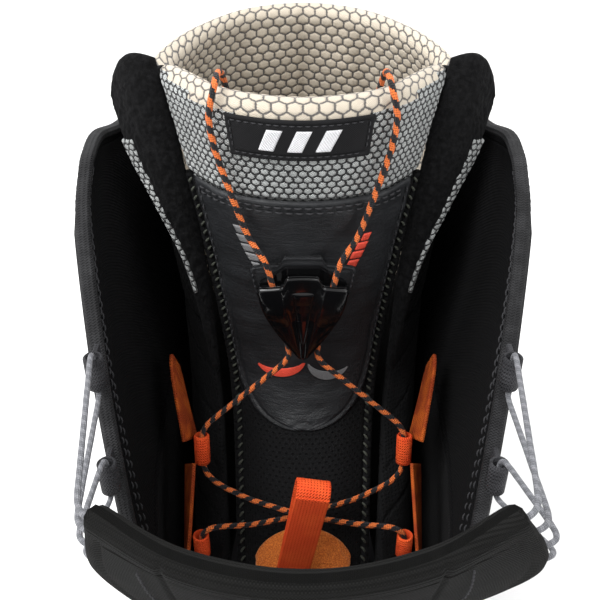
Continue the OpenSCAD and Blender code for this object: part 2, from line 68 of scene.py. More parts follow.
# ---------------------------------------------------------------- the boot's lines, as in the CAD model
TOE_TURN = 5
TONGUE_WING = 10
LACE_D, SHELL_LACE_D = 2.1, 1.7
SHELL = [
    [(0, 146, 27), (33, 136, 27), (45, 96, 27), (46, 40, 27), (53, -15, 27), (57.5, -58, 27)],
    [(0, 149, 58), (33, 139, 58), (47, 97, 58), (50, 40, 60), (55, -22, 58), (58.5, -76, 56)],
    [(0, 143, 92), (31, 133, 93), (48, 93, 95), (54, 36, 96), (56, -32, 92), (50, -97, 81)],
    [(0, 135, 120), (31, 125, 121), (50, 86, 123), (57, 30, 124), (57, -38, 120), (45, -98, 106)],
    [(0, 129, 145), (32, 119, 146), (53, 82, 148), (59, 28, 149), (58, -35, 146), (49, -91, 134)],
    [(0, 123, 170), (33, 113, 171), (55, 78, 173), (62, 26, 174), (62, -30, 171), (56, -77, 163)],
    [(0, 118, 196), (34, 108, 197), (58, 75, 199), (66, 26, 200), (67, -22, 199), (62, -60, 196)],
    [(0, 113, 222), (35, 103, 223), (61, 72, 225), (69, 28, 227), (71, -12, 226), (67, -42, 221)],
    [(0, 110, 243), (36, 100, 244), (64, 72, 247), (73, 33, 250), (76, 8, 252), (74, -11, 249)],
    [(0, 107, 260), (37, 98, 261), (64, 73, 260), (71, 48, 258), (75, 26, 263), (75, 8, 262)],
]
VAMP = [
    [(0, -148.6, 27), (34, -138, 27), (53, -100, 27), (52, -56, 27)],
    [(0, -147.6, 48), (33, -136, 50), (52.5, -98, 53), (51.5, -56, 58)],
    [(0, -140, 63), (28, -129, 66), (45, -97, 73), (45, -58, 80)],
    [(0, -126, 74), (21, -118, 76), (34, -94, 84), (38, -62, 94)],
    [(0, -107, 83), (13, -103, 84), (23, -89, 89), (28, -68, 97)],
    [(0, -84, 94), (7, -83, 94), (14, -80, 95), (20, -75, 97)],
]
LINER = [
    [(0, 137, 36), (26, 128, 36), (37, 92, 36), (40, 35, 36), (45, -20, 36), (46, -58, 36)],
    [(0, 140, 62), (27, 130, 62), (40, 92, 63), (44, 35, 64), (47, -25, 63), (45, -60, 60)],
    [(0, 134, 94), (27, 124, 95), (42, 86, 96), (47, 34, 97), (45, -28, 94), (33, -64, 82)],
    [(0, 127, 122), (28, 117, 123), (44, 80, 124), (49, 32, 124), (44, -14, 121), (31, -40, 112)],
    [(0, 120, 150), (29, 110, 151), (46, 75, 152), (50, 40, 152), (45, 14, 150), (34, 2, 146)],
    [(0, 113, 184), (30, 103, 185), (49, 72, 186), (52, 48, 186), (47, 29, 184), (39, 19, 181)],
    [(0, 108, 215), (31, 98, 216), (52, 70, 217), (55, 48, 217), (51, 32, 216), (45, 22, 214)],
    [(0, 101, 246), (31, 92, 246.5), (52, 69, 247), (57, 50, 247), (54.5, 35, 246), (50, 25, 244)],
    [(0, 96, 271), (28, 88, 271), (48, 69, 271), (56, 52, 270.5), (56, 40, 269), (53, 31, 267)],
    [(0, 92, 293), (24, 85, 292.5), (41, 68, 291), (50, 53, 289), (54, 42, 287), (54, 34, 285)],
]
TONGUE = [
    [(0, -14, 290), (28, -5, 290), (48, 20, 289)],
    [(0, -9, 256), (24, -3, 256), (40.5, 14, 256)],
    [(0, -4, 222), (21, 1, 222), (34.5, 11.5, 222)],
    [(0, 2, 182), (17, 4, 182), (30, 11, 181)],
    [(0, -3, 162), (15, -1, 161), (28, 5, 157)],
    [(0, -17, 146), (14, -16, 144), (27, -9, 138)],
    [(0, -46, 121), (13, -45, 119), (25, -40, 111)],
    [(0, -76, 88), (11, -75, 87), (20, -71, 81)],
]
LAPEL = [
    [(50, 22, 289), (59, 24, 287), (68, 32, 278)],
    [(43.5, 16, 266), (53, 16, 265), (63, 25, 261)],
    [(39, 13, 246), (46, 11, 245), (53, 15, 243)],
    [(36, 11, 224), (40.3, 9.8, 223.5), (44.5, 9.5, 222)],
    [(34, 8.5, 200), (36.5, 7.2, 199.5), (39, 6, 199)],
    [(32.5, 4, 176), (34, 3.5, 175.5), (35.5, 3, 175)],
]
FRONT = [
    [(0, -75, 103), (11, -73, 102.5), (20, -69, 101)],
    [(0, -87, 130), (17, -84, 129.5), (32, -76, 127)],
    [(0, -103, 166), (24, -99, 165), (48, -89, 161)],
    [(0, -119, 201), (28, -114, 200), (57, -100, 195)],
    [(0, -134, 230.5), (28, -128, 230), (51.5, -111, 227.5)],
]
# Half outline of the sole, from the toe to the heel.
SOLE = [(0, -152), (30, -145), (50, -122), (60, -88), (61, -52), (55, -10), (49, 40), (48, 88), (42, 124),
        (25, 146), (0, 152)]


def turned(p):
    """A point of the shell with the toe's sideways turn."""
    x, y, z = p
    return (x + (TOE_TURN * ((-60 - y) / 92) ** 1.5 if y < -60 else 0), y, z)


def winged(p):
    """A point of the shell tongue, its right side widened into a wing."""
    x, y, z = p
    return (x + TONGUE_WING * (max(x, 0) / 59) ** 3 * max(0, math.sin(math.radians((231 - z) * 2.5))), y, z)


class Face:
    """A surface through rows of points: u counts rows, v runs from -1 at the left edge to 1 at the right."""

    def __init__(self, rows, out, mirrored=True, change=None):
        whole = [[(-x, y, z) for x, y, z in row[:0:-1]] + row for row in rows] if mirrored else rows
        if change:
            whole = [[change(p) for p in row] for row in whole]
        grid = np.array(whole, float)
        grid = np.concatenate([2 * grid[:1] - grid[1:2], grid, 2 * grid[-1:] - grid[-2:-1]])
        first, last = 2 * grid[:, :1] - grid[:, 1:2], 2 * grid[:, -1:] - grid[:, -2:-1]
        self.grid = np.concatenate([first, grid, last], axis=1)
        self.out = out

    @staticmethod
    def weights(x, count):
        i = np.clip(np.floor(x), 0, count - 2).astype(int)
        t = x - i
        w = [-t + 2 * t**2 - t**3, 2 - 5 * t**2 + 3 * t**3, t + 4 * t**2 - 3 * t**3, t**3 - t**2]
        return i, [0.5 * k for k in w]

    def place(self, u, v):
        u, v = np.broadcast_arrays(np.asarray(u, float), np.asarray(v, float))
        rows, columns = self.grid.shape[0] - 2, self.grid.shape[1] - 2
        i, wu = self.weights(u, rows)
        j, wv = self.weights((v + 1) / 2 * (columns - 1), columns)
        total = np.zeros(u.shape + (3,))
        for a in range(4):
            for b in range(4):
                total += (wu[a] * wv[b])[..., None] * self.grid[i + a, j + b]
        return total

    def outward(self, u, v):
        u, v = np.asarray(u, float), np.asarray(v, float)
        along_v = self.place(u, v + 0.01) - self.place(u, v - 0.01)
        along_u = self.place(u + 0.02, v) - self.place(u - 0.02, v)
        n = np.cross(along_v, along_u)
        return self.out * n / np.linalg.norm(n, axis=-1, keepdims=True)

    def off(self, u, v, d):
        return self.place(u, v) + self.outward(u, v) * np.asarray(d, float)[..., None]


shell_face = Face(SHELL, -1, change=turned)
vamp_face = Face(VAMP, 1, change=turned)
liner_face = Face(LINER, -1, change=turned)
tongue_face = Face(TONGUE, -1)
front_face = Face(FRONT, 1, change=winged)
lapel_face = Face(LAPEL, -1, mirrored=False)


# ---------------------------------------------------------------- mesh helpers
def steps(a, b, n):
    """n equal steps from a to b."""
    return np.linspace(a, b, n + 1)


def spread(a, b, n, edge=0.03):
    """Places from a to b, close together near both ends so that a rim can be rounded."""
    near = edge * np.array([0, 0.08, 0.25, 0.5, 0.75])
    return a + (b - a) * np.concatenate([near, np.linspace(edge, 1 - edge, n + 1), 1 - near[::-1]])


def make_mesh(name, points, faces, uvs=None, corner_uvs=None):
    """A mesh object from points; uvs are (across, along) in millimetres, by point or by corner."""
    mesh = bpy.data.meshes.new(name)
    mesh.from_pydata((np.asarray(points) * MM).tolist(), [], [tuple(f) for f in faces])
    layer = mesh.uv_layers.new(name="UVMap")
    if corner_uvs is None:
        corners = np.zeros(len(mesh.loops), np.int32)
        mesh.loops.foreach_get("vertex_index", corners)
        corner_uvs = np.asarray(uvs, np.float32)[corners]
    layer.data.foreach_set("uv", np.asarray(corner_uvs, np.float32).ravel())
    mesh.polygons.foreach_set("use_smooth", [True] * len(mesh.polygons))
    piece = bpy.data.objects.new(name, mesh)
    bpy.context.scene.collection.objects.link(piece)
    return piece


def grid_faces(n, m):
    """The quads of a grid of n by m points."""
    i, j = np.meshgrid(np.arange(n - 1), np.arange(m - 1), indexing="ij")
    k = (i * m + j).ravel()
    return np.stack([k, k + m, k + m + 1, k + 1], axis=1)


def lengths(points, axis):
    """Distance along a grid of points from its first line."""
    gaps = np.linalg.norm(np.diff(points, axis=axis), axis=-1)
    start = np.zeros_like(gaps[:1] if axis == 0 else gaps[:, :1])
    return np.cumsum(np.concatenate([start, gaps], axis=axis), axis=axis)


def sheet(name, face, us, vs, inner, outer, rim=1.5, relief=None, low_relief=None, warp=None, swell=None,
          paint=None, hem=0):
    """A closed sheet with a rounded rim between two distances outside a face.

    relief(s, t, edge) raises its outer side and low_relief its inner side, where s and t are millimetres
    across from the middle and down from the hem row, and edge is the distance to the rim. warp(u, v)
    moves its places, swell(u, v) adds to both sides, and paint(u, v, s, t, low) picks material slots.
    """
    u, v = np.meshgrid(us, vs, indexing="ij")
    if warp:
        u, v = warp(u, v)
    base, out = face.place(u, v), face.outward(u, v)
    along, across = lengths(base, 0), lengths(base, 1)
    edge = np.minimum(np.minimum(along, along[-1:] - along), np.minimum(across, across[:, -1:] - across))
    roll = np.sqrt(np.clip(1 - (1 - np.clip(edge / rim, 0, 1)) ** 2, 0, 1))
    centre, half = (inner + outer) / 2, (outer - inner) / 2
    swells = swell(u, v) if swell else (0, 0)
    heights, places = [], []
    for way, more, raised in ((1, swells[0], relief), (-1, swells[1], low_relief)):
        height = centre + way * (half + more) * roll
        surface = base + out * height[..., None]
        t, s = lengths(surface, 0) * way, lengths(surface, 1)
        t = t - t[hem]
        s = s - np.array([np.interp(0, v[k], s[k]) for k in range(len(s))])[:, None]
        heights.append(height + way * (raised(s, t, edge) * roll if raised else 0))
        places.append((s, t))
    top, low = heights
    n, m = u.shape
    inside = np.zeros((n, m), bool)
    inside[1:-1, 1:-1] = True
    low_index = np.arange(n * m).reshape(n, m)
    low_index[inside] = n * m + np.arange(inside.sum())
    quads = grid_faces(n, m)
    upper = quads if face.out < 0 else quads[:, ::-1]
    under = low_index.ravel()[quads[:, ::-1] if face.out < 0 else quads]
    points = np.concatenate([(base + out * top[..., None]).reshape(-1, 3),
                             (base + out * low[..., None])[inside]])
    uvs = [np.stack(st, axis=-1) for st in places]
    piece = make_mesh(name, points, np.concatenate([upper, under]).tolist(),
                      np.concatenate([uvs[0].reshape(-1, 2), uvs[1][inside]]))
    if paint:
        mean = [a.ravel()[quads].mean(axis=1) for a in (u, v, *places[0])]
        slots = np.concatenate([paint(*mean, False), paint(*mean, True)]).astype(np.int32)
        piece.data.polygons.foreach_set("material_index", slots)
    return piece


def smooth(points, k):
    """Points of a smooth curve through listed ones, k to each span."""
    p = np.asarray(points, float)
    p = np.concatenate([2 * p[:1] - p[1:2], p, 2 * p[-1:] - p[-2:-1]])
    x = np.arange((len(p) - 3) * k + 1) / k
    i, w = Face.weights(x, len(p) - 2)
    return sum(w[a][:, None] * p[i + a] for a in range(4))


def evenly(points, gap):
    """The same line with points a fixed distance apart."""
    p = np.asarray(points, float)
    at = np.concatenate([[0], np.cumsum(np.linalg.norm(np.diff(p, axis=0), axis=1))])
    where = np.linspace(0, at[-1], max(int(round(at[-1] / gap)), 2) + 1)
    return np.stack([np.interp(where, at, p[:, c]) for c in range(3)], axis=1), where


def relaxed(points, gap, rounds=42):
    """The same line with points a fixed distance apart and its corners worn round."""
    p = evenly(points, gap)[0]
    for _ in range(rounds):
        p[1:-1] = (p[:-2] + 2 * p[1:-1] + p[2:]) / 4
    return evenly(p, gap)


def frames_along(path, side=None):
    """Directions along, across and up at each point; across follows side where it is given."""
    way = np.gradient(path, axis=0)
    way /= np.linalg.norm(way, axis=1, keepdims=True)
    if side is None:
        arm = np.cross(way[0], (0, 0, 1) if abs(way[0][2]) < 0.8 else (1, 0, 0))
        arms = []
        for w in way:
            arm = arm - w * arm.dot(w)
            arm = arm / np.linalg.norm(arm)
            arms.append(arm)
        across = np.array(arms)
    else:
        across = side - way * np.sum(side * way, axis=1, keepdims=True)
        across /= np.linalg.norm(across, axis=1, keepdims=True)
    return way, across, np.cross(way, across)


def sweep(name, path, profile, side=None, bump=None):
    """Sweeps a closed profile of (across, up) pairs along a path; bump(turn, along) scales it."""
    path = np.asarray(path, float)
    _, across, up = frames_along(path, None if side is None else np.asarray(side, float))
    profile = np.asarray(profile, float)
    n, m = len(path), len(profile)
    along = np.concatenate([[0], np.cumsum(np.linalg.norm(np.diff(path, axis=0), axis=1))])
    scale = bump(np.arange(m)[None, :] / m, along[:, None]) if bump else np.ones((n, m))
    points = (path[:, None] + across[:, None] * (profile[:, 0] * scale)[..., None]
              + up[:, None] * (profile[:, 1] * scale)[..., None])
    i, j = (k.ravel() for k in np.meshgrid(np.arange(n - 1), np.arange(m), indexing="ij"))
    a, b = i * m + j, i * m + (j + 1) % m
    faces = np.stack([a, b, b + m, a + m], axis=1).tolist()
    faces += [list(range(m))[::-1], [(n - 1) * m + q for q in range(m)]]
    ring = np.vstack([profile, profile[:1]])
    rim = np.concatenate([[0], np.cumsum(np.linalg.norm(np.diff(ring, axis=0), axis=1))])
    corners = np.stack([np.stack([rim[j], along[i]], 1), np.stack([rim[j + 1], along[i]], 1),
                        np.stack([rim[j + 1], along[i + 1]], 1), np.stack([rim[j], along[i + 1]], 1)], 1)
    corners = np.concatenate([corners.reshape(-1, 2), np.zeros((2 * m, 2))])
    return make_mesh(name, points.reshape(-1, 3), faces, corner_uvs=corners)


def lathe(name, profile, centre, axis, sides):
    """Turns a closed profile of (radius, height) pairs about an axis."""
    axis = np.asarray(axis, float) / np.linalg.norm(axis)
    arm = np.cross(axis, (0, 1, 0) if abs(axis[1]) < 0.8 else (1, 0, 0))
    arm /= np.linalg.norm(arm)
    other = np.cross(axis, arm)
    angles = np.radians(np.linspace(0, 360, sides + 1)[:-1])
    profile = np.asarray(profile, float)
    n, m = len(angles), len(profile)
    points = [np.asarray(centre) + axis * h + (arm * math.cos(a) + other * math.sin(a)) * r
              for a in angles for r, h in profile]
    faces = []
    for i in range(n):
        k = (i + 1) % n
        faces += [(i * m + j, i * m + (j + 1) % m, k * m + (j + 1) % m, k * m + j) for j in range(m)]
    uvs = [(h + r, math.degrees(a) / 57.3 * profile[:, 0].max()) for a in angles for r, h in profile]
    return make_mesh(name, points, faces, uvs)


def rounded(w, h, r):
    """Outline of a flat bar w wide and h thick with rounded corners."""
    r = min(r, w / 2 - 0.01, h / 2 - 0.01)
    points = []
    for cx, cy, start in ((w / 2 - r, h / 2 - r, 0), (r - w / 2, h / 2 - r, 90),
                          (r - w / 2, r - h / 2, 180), (w / 2 - r, r - h / 2, 270)):
        for a in np.radians(steps(start, start + 90, 3)):
            points.append((cx + r * math.cos(a), cy + r * math.sin(a)))
    return points


def circle(d, n):
    """Outline of a round bar with n corners."""
    return [(d / 2 * math.cos(2 * math.pi * k / n), d / 2 * math.sin(2 * math.pi * k / n)) for k in range(n)]


def stitches(name, path, normals, length=2.6, gap=1.2, d=0.75, lean=0.0):
    """A row of raised thread stitches along a path; normals point off the fabric."""
    path, where = evenly(path, 0.5)
    normals = np.asarray(normals, float) * np.ones((2, 1)) if np.ndim(normals) == 1 else np.asarray(normals)
    source = np.linspace(0, 1, len(normals))
    normals = np.stack([np.interp(np.linspace(0, 1, len(path)), source, normals[:, c])
                        for c in range(3)], axis=1)
    ring, thin = np.array(circle(d, 6)), np.array([0.55, 0.9, 1, 1, 0.9, 0.55])
    points, faces, uvs = [], [], []
    for k in range(int(where[-1] // (length + gap))):
        inside = k * (length + gap) + gap / 2 + np.linspace(0, length, 6)
        mid, up = (np.stack([np.interp(inside, where, a[:, c]) for c in range(3)], axis=1)
                   for a in (path, normals))
        way = mid[-1] - mid[0]
        mid = mid + np.cross(up[0], way / np.linalg.norm(way)) * np.linspace(-lean, lean, 6)[:, None]
        mid = mid + up * (np.sin(np.linspace(0.05, math.pi - 0.05, 6))[:, None] * d * 0.55 - d * 0.15)
        _, across, lift = frames_along(mid)
        start = len(points)
        for q in range(6):
            points += [mid[q] + (across[q] * x + lift[q] * y) * thin[q] for x, y in ring]
            uvs += [(x, q * length / 5) for x, y in ring]
        for q in range(5):
            rows = [(start + q * 6 + r, start + q * 6 + (r + 1) % 6) for r in range(6)]
            faces += [(a, b, b + 6, a + 6) for a, b in rows]
        faces.append(tuple(start + r for r in range(5, -1, -1)))
        faces.append(tuple(start + 30 + r for r in range(6)))
    return make_mesh(name, points, faces, uvs)


def face_line(face, us, vs, d):
    """Points and outward directions along a line of places on a face."""
    us, vs = np.broadcast_arrays(np.asarray(us, float), np.asarray(vs, float))
    return face.off(us, vs, np.full(us.shape, float(d))), face.outward(us, vs)


CELL_WIDE = 1.1
PALE_PITCH, SILVER_PITCH, DARK_PITCH = 4.4, 2.8, 2.4


def hexagons(x, y, pitch):
    """0 in the middle of each cell of a honeycomb, 1 at its walls; cells are wider than high."""
    w, h = pitch / 2, pitch * 0.866
    x, y = x / CELL_WIDE, y * CELL_WIDE
    far = []
    for shift in (0, 1):
        a = np.abs((x + shift * w + w) % (2 * w) - w)
        b = np.abs((y + shift * h + h) % (2 * h) - h)
        far.append(np.maximum(a, 0.5 * a + 0.866 * b))
    return np.minimum(*far) / w


def lumps(x, y, size, seed):
    """Smooth random heights from -1 to 1 with lumps of about the given size."""
    heights = np.random.default_rng(seed).uniform(-1, 1, (64, 64))
    x, y = x / size + 17.3, y / size + 9.1
    i, j = np.floor(x).astype(int), np.floor(y).astype(int)
    a, b = x - i, y - j
    a, b = a * a * (3 - 2 * a), b * b * (3 - 2 * b)
    at = lambda p, q: heights[(i + p) % 64, (j + q) % 64]
    return (at(0, 0) * (1 - a) + at(1, 0) * a) * (1 - b) + (at(0, 1) * (1 - a) + at(1, 1) * a) * b


def groove(distance, width):
    """1 on a line, falling to 0 past its width."""
    return np.exp(-((distance / width) ** 2))


# ---------------------------------------------------------------- cloth simulation of the padded pieces
PRESSURE = 4


def swelled(face, us, vs, inner, outer, cap):
    """How far cloth filled with air swells off a face, as a function of (u, v) for both sides."""
    u, v = np.meshgrid(us, vs, indexing="ij")
    n, m = u.shape
    pad = sheet("pad", face, us, vs, inner, outer, rim=3)
    out = face.outward(u, v)
    inside = np.zeros((n, m), bool)
    inside[1:-1, 1:-1] = True
    pins = pad.vertex_groups.new(name="rim")
    pins.add([int(k) for k in np.arange(n * m)[~inside.ravel()]], 1.0, "REPLACE")
    cloth = pad.modifiers.new("cloth", "CLOTH")
    cloth.settings.use_pressure = True
    cloth.settings.uniform_pressure_force = PRESSURE
    cloth.settings.effector_weights.gravity = 0
    cloth.settings.vertex_group_mass = "rim"
    cloth.settings.quality = 5
    scene = bpy.context.scene
    for number in range(1, 21):
        scene.frame_set(number)
    shape = pad.evaluated_get(bpy.context.evaluated_depsgraph_get()).to_mesh()
    after, before = (np.array([w.co[:] for w in mesh.vertices]) / MM for mesh in (shape, pad.data))
    moved = after - before
    top = np.sum(moved[:n * m].reshape(n, m, 3) * out, axis=-1)
    low = np.zeros((n, m))
    low[inside] = -np.sum(moved[n * m:] * out[inside], axis=-1)
    found = [np.clip(a, 0, cap) for a in (top, low)]
    scene.frame_set(1)
    mesh = pad.data
    bpy.data.objects.remove(pad)
    bpy.data.meshes.remove(mesh)
    grids = [np.pad(a, 1, mode="edge") for a in found]

    def at(u, v):
        i, wu = Face.weights((u - us[0]) / (us[-1] - us[0]) * (n - 1), n)
        j, wv = Face.weights((v - vs[0]) / (vs[-1] - vs[0]) * (m - 1), m)
        return [sum(wu[a] * wv[b] * g[i + a, j + b] for a in range(4) for b in range(4)) for g in grids]
    return at


# ---------------------------------------------------------------- materials
class Shader:
    """A material made of nodes, its patterns in millimetres."""

    def __init__(self, name, **surface):
        self.material = bpy.data.materials.new(name)
        self.material.use_nodes = True
        self.tree = self.material.node_tree
        self.surface = self.tree.nodes["Principled BSDF"]
        self.set(**surface)
        uv = self.tree.nodes.new("ShaderNodeUVMap")
        uv.uv_map = "UVMap"
        self.uv = uv.outputs[0]
        position = self.tree.nodes.new("ShaderNodeTexCoord").outputs["Object"]
        self.space = self.vector("MULTIPLY", position, (1000, 1000, 1000))

    def put(self, socket, value):
        if isinstance(value, bpy.types.NodeSocket):
            self.tree.links.new(value, socket)
        elif socket.type == "RGBA" and len(value) == 3:
            socket.default_value = (*value, 1)
        else:
            socket.default_value = value

    def set(self, **surface):
        for name, value in surface.items():
            self.put(self.surface.inputs[name.replace("_", " ")], value)
        return self

    def node(self, kind, values, output=0, **settings):
        n = self.tree.nodes.new("ShaderNode" + kind)
        for name, value in settings.items():
            setattr(n, name, value)
        for where, value in values.items():
            self.put(n.inputs[where], value)
        return n.outputs[output]

    def math(self, operation, a, b=0.0, c=0.0):
        return self.node("Math", {0: a, 1: b, 2: c}, operation=operation)

    def vector(self, operation, a, b=(0, 0, 0), c=(0, 0, 0)):
        output = "Value" if operation == "DOT_PRODUCT" else "Vector"
        return self.node("VectorMath", {0: a, 1: b, 2: c}, output, operation=operation)

    def mix(self, factor, a, b):
        return self.node("Mix", {0: factor, 6: a, 7: b}, 2, data_type="RGBA")

    def ramp(self, value, low, high, start=0.0, end=1.0):
        return self.node("MapRange", {0: value, 1: low, 2: high, 3: start, 4: end},
                         interpolation_type="SMOOTHSTEP")

    def noise(self, size, detail=3.0, at=None, stretch=(1, 1, 1)):
        place = self.vector("MULTIPLY", at or self.space, stretch)
        return self.node("TexNoise", {"Vector": place, "Scale": 1 / size, "Detail": detail})

    def along(self, axis, at=None):
        return self.vector("DOT_PRODUCT", at or self.uv, axis)

    def wave(self, axis, length, at=None):
        """A wave from -1 to 1 along a direction."""
        return self.math("SINE", self.math("MULTIPLY", self.along(axis, at), 2 * math.pi / length))

    def weave(self, w, h):
        """Plain weave: threads w apart across and h apart along."""
        return self.math("MULTIPLY", self.wave((1, 0, 0), 2 * w), self.wave((0, 1, 0), 2 * h))

    def hexagons(self, pitch):
        """0 in the middle of each cell of a honeycomb, 1 at its walls."""
        w, h = pitch / 2, pitch * 0.866
        wide = self.vector("MULTIPLY", self.uv, (1 / CELL_WIDE, CELL_WIDE, 1))
        far = []
        for shift in (0, 1):
            moved = self.vector("ADD", wide, (shift * w, shift * h, 0))
            cell = self.vector("ABSOLUTE", self.vector("WRAP", moved, (w, h, 1), (-w, -h, -1)))
            slant = self.vector("DOT_PRODUCT", cell, (0.5, 0.866, 0))
            far.append(self.math("MAXIMUM", self.vector("DOT_PRODUCT", cell, (1, 0, 0)), slant))
        return self.math("DIVIDE", self.math("MINIMUM", *far), w)

    def bump(self, height, depth, under=None):
        values = {"Height": height, "Distance": depth * MM, "Strength": 1.0}
        if under:
            values["Normal"] = under
        return self.node("Bump", values)


def hex_mesh(name, cell, yarn, wall, pitch, gap=0.85, ragged=0.35):
    """Knitted honeycomb: pale pads of fine yarn between dark walls."""
    s = Shader(name, Roughness=0.85, Sheen_Weight=0.2, Sheen_Roughness=0.5, Specular_IOR_Level=0.3)
    d = s.hexagons(pitch)
    edge = s.math("ADD", d, s.math("MULTIPLY", s.math("SUBTRACT", s.noise(0.5, 3), 0.5), ragged))
    at = s.vector("ADD", s.uv, s.vector("MULTIPLY", s.node("TexNoise", {"Vector": s.uv, "Scale": 0.5}, 1),
                                        (0.9, 0.9, 0)))
    threads = s.wave((0.6, 1, 0), 0.5, at)
    pale = s.mix(s.ramp(threads, -0.7, 0.4), yarn, cell)
    pale = s.mix(s.ramp(s.noise(14, 2), 0.35, 0.7), pale, s.mix(0.25, pale, yarn))
    s.set(Base_Color=s.mix(s.ramp(edge, gap - 0.09, gap + 0.09), pale, wall))
    pads = s.bump(s.ramp(d, 1.0, 0.55), 0.35)
    s.set(Normal=s.bump(threads, 0.06, pads))
    return s.material


def knit(name, colour, light):
    """Three-dimensional mesh with small round holes."""
    s = Shader(name, Roughness=0.9, Sheen_Weight=0.02, Specular_IOR_Level=0.08)
    d = s.hexagons(DARK_PITCH)
    fibres = s.noise(0.35, 3)
    # The hole centres get a darker copy of the colour: painted shade inside the holes.
    shade = s.mix(s.ramp(d, 0.15, 0.55), tuple(c * 0.35 for c in colour), colour)
    s.set(Base_Color=s.mix(s.math("MULTIPLY", s.ramp(fibres, 0.5, 0.75), 0.5), shade, light))
    holes = s.bump(s.ramp(d, 0.15, 0.6), 0.35)
    s.set(Normal=s.bump(fibres, 0.15, holes))
    return s.material


def plush(name, colour):
    """Short matted pile."""
    s = Shader(name, Roughness=1.0, Sheen_Weight=0.05, Sheen_Roughness=0.35, Sheen_Tint=(0.4, 0.4, 0.42),
               Specular_IOR_Level=0.1)
    tufts, fibres = s.noise(1.6, 3), s.noise(0.35, 2)
    s.set(Base_Color=s.mix(s.ramp(tufts, 0.35, 0.7), tuple(c * 0.5 for c in colour), colour))
    s.set(Normal=s.bump(fibres, 0.35, s.bump(tufts, 0.6)))
    return s.material


def leather(name, colour, shine=0.42):
    """Soft coated leather look with fine creases."""
    s = Shader(name, Specular_IOR_Level=0.32)
    pebbles = s.node("TexVoronoi", {"Vector": s.space, "Scale": 1.1}, feature="DISTANCE_TO_EDGE")
    creases = s.noise(2.2, 4, s.uv, (0.45, 1.6, 1))
    s.set(Base_Color=s.mix(s.ramp(s.noise(22, 3), 0.3, 0.7), tuple(c * 0.8 for c in colour),
                           tuple(c * 1.25 for c in colour)))
    s.set(Roughness=s.ramp(creases, 0.3, 0.7, shine - 0.05, shine + 0.12))
    s.set(Normal=s.bump(s.ramp(pebbles, 0.0, 0.25), 0.05, s.bump(creases, 0.25)))
    return s.material


def cloth(name, colour, thread=0.55, rib=0.0, rough=0.8, light=1.5):
    """Plain woven fabric, with raised ribs across it where rib is their spacing."""
    s = Shader(name, Roughness=rough, Sheen_Weight=0.01, Specular_IOR_Level=0.07)
    weave = s.weave(thread, thread)
    shade = s.mix(s.ramp(s.noise(9, 4), 0.3, 0.75), tuple(c * 0.75 for c in colour), colour)
    # The raised crossings of the weave get the colour times light: a painted highlight on the thread crowns.
    s.set(Base_Color=s.mix(s.ramp(weave, -0.6, 1.0, 0, 0.7), shade, tuple(c * light for c in colour)))
    normal = s.bump(weave, thread * 0.22)
    if rib:
        normal = s.bump(s.wave((0, 1, 0), rib), rib * 0.14, normal)
    s.set(Normal=normal)
    return s.material


def webbing(name, colour, dark, rib=1.5):
    """Narrow woven tape: ribs along it, crossed by short threads, its colour uneven."""
    s = Shader(name, Roughness=0.75, Sheen_Weight=0.12, Sheen_Tint=tuple(min(1, c * 1.2) for c in colour),
               Specular_IOR_Level=0.25)
    ribs = s.wave((1, 0, 0), rib)
    threads = s.weave(rib / 2, 0.45)
    shade = s.mix(s.ramp(s.noise(7, 3), 0.35, 0.7), dark, colour)
    # The gaps between the crossing threads are painted darker: painted shade between the threads.
    s.set(Base_Color=s.mix(s.ramp(threads, -0.8, 0.6), s.mix(0.6, shade, dark), shade))
    s.set(Normal=s.bump(threads, 0.16, s.bump(ribs, 0.12)))
    return s.material


def braid(name, first, second, d, length, strands, share):
    """Braided cord: strands wind round it and change from one colour to the other along it."""
    s = Shader(name, Roughness=0.65, Sheen_Weight=0.08, Specular_IOR_Level=0.3)
    girth = math.pi * d
    turn = s.math("DIVIDE", s.along((1, 0, 0)), girth)
    run = s.along((0, 1, 0))
    lanes = s.math("MULTIPLY", turn, float(strands))
    offset = s.math("ADD", s.math("MULTIPLY", s.math("FLOOR", lanes), 1 / strands),
                    s.math("MULTIPLY", s.math("FRACT", lanes), 0.1))
    phase = s.math("ADD", s.math("DIVIDE", run, length), offset)
    dash = s.math("SINE", s.math("MULTIPLY", phase, 2 * math.pi))
    picks = s.math("DIVIDE", run, 1.5)
    left, right = (s.math("SINE", s.math("MULTIPLY", s.math(sign, lanes, picks), 2 * math.pi))
                   for sign in ("ADD", "SUBTRACT"))
    cells = s.math("MULTIPLY", left, right)
    shade = s.mix(s.ramp(s.math("ADD", dash, s.math("MULTIPLY", cells, 0.25)), share - 0.12, share + 0.12),
                  second, first)
    # The gaps between the strands are painted near black: painted shade between the strands.
    s.set(Base_Color=s.mix(s.ramp(cells, -1.0, 0.2, 0.45, 0.0), shade, (0.01, 0.01, 0.01)))
    s.set(Normal=s.bump(cells, 0.22))
    return s.material


def moulded(name, colour, rough, grain, coat=0.0, wear=0.25, metal=0.0):
    """Moulded rubber, foam or plastic, a little scuffed and uneven."""
    s = Shader(name, Metallic=metal, Coat_Weight=coat, Coat_Roughness=0.06, Specular_IOR_Level=0.3)
    scuffs, speckle = s.noise(18, 5), s.noise(0.8, 3)
    scuffed = tuple(c * 1.5 + 0.006 for c in colour)
    s.set(Base_Color=s.mix(s.ramp(scuffs, 0.45, 0.8, 0, wear), colour, scuffed))
    s.set(Roughness=s.ramp(scuffs, 0.35, 0.75, rough - 0.06, rough + 0.14))
    s.set(Normal=s.bump(speckle, grain))
    return s.material


def fleece(name, colour, dark):
    """Brushed felt."""
    s = Shader(name, Roughness=0.9, Sheen_Weight=0.8, Sheen_Roughness=0.4, Sheen_Tint=(1.0, 0.6, 0.35))
    fibres = s.noise(0.5, 4)
    s.set(Base_Color=s.mix(s.ramp(fibres, 0.35, 0.65), dark, colour))
    s.set(Normal=s.bump(fibres, 0.5))
    return s.material


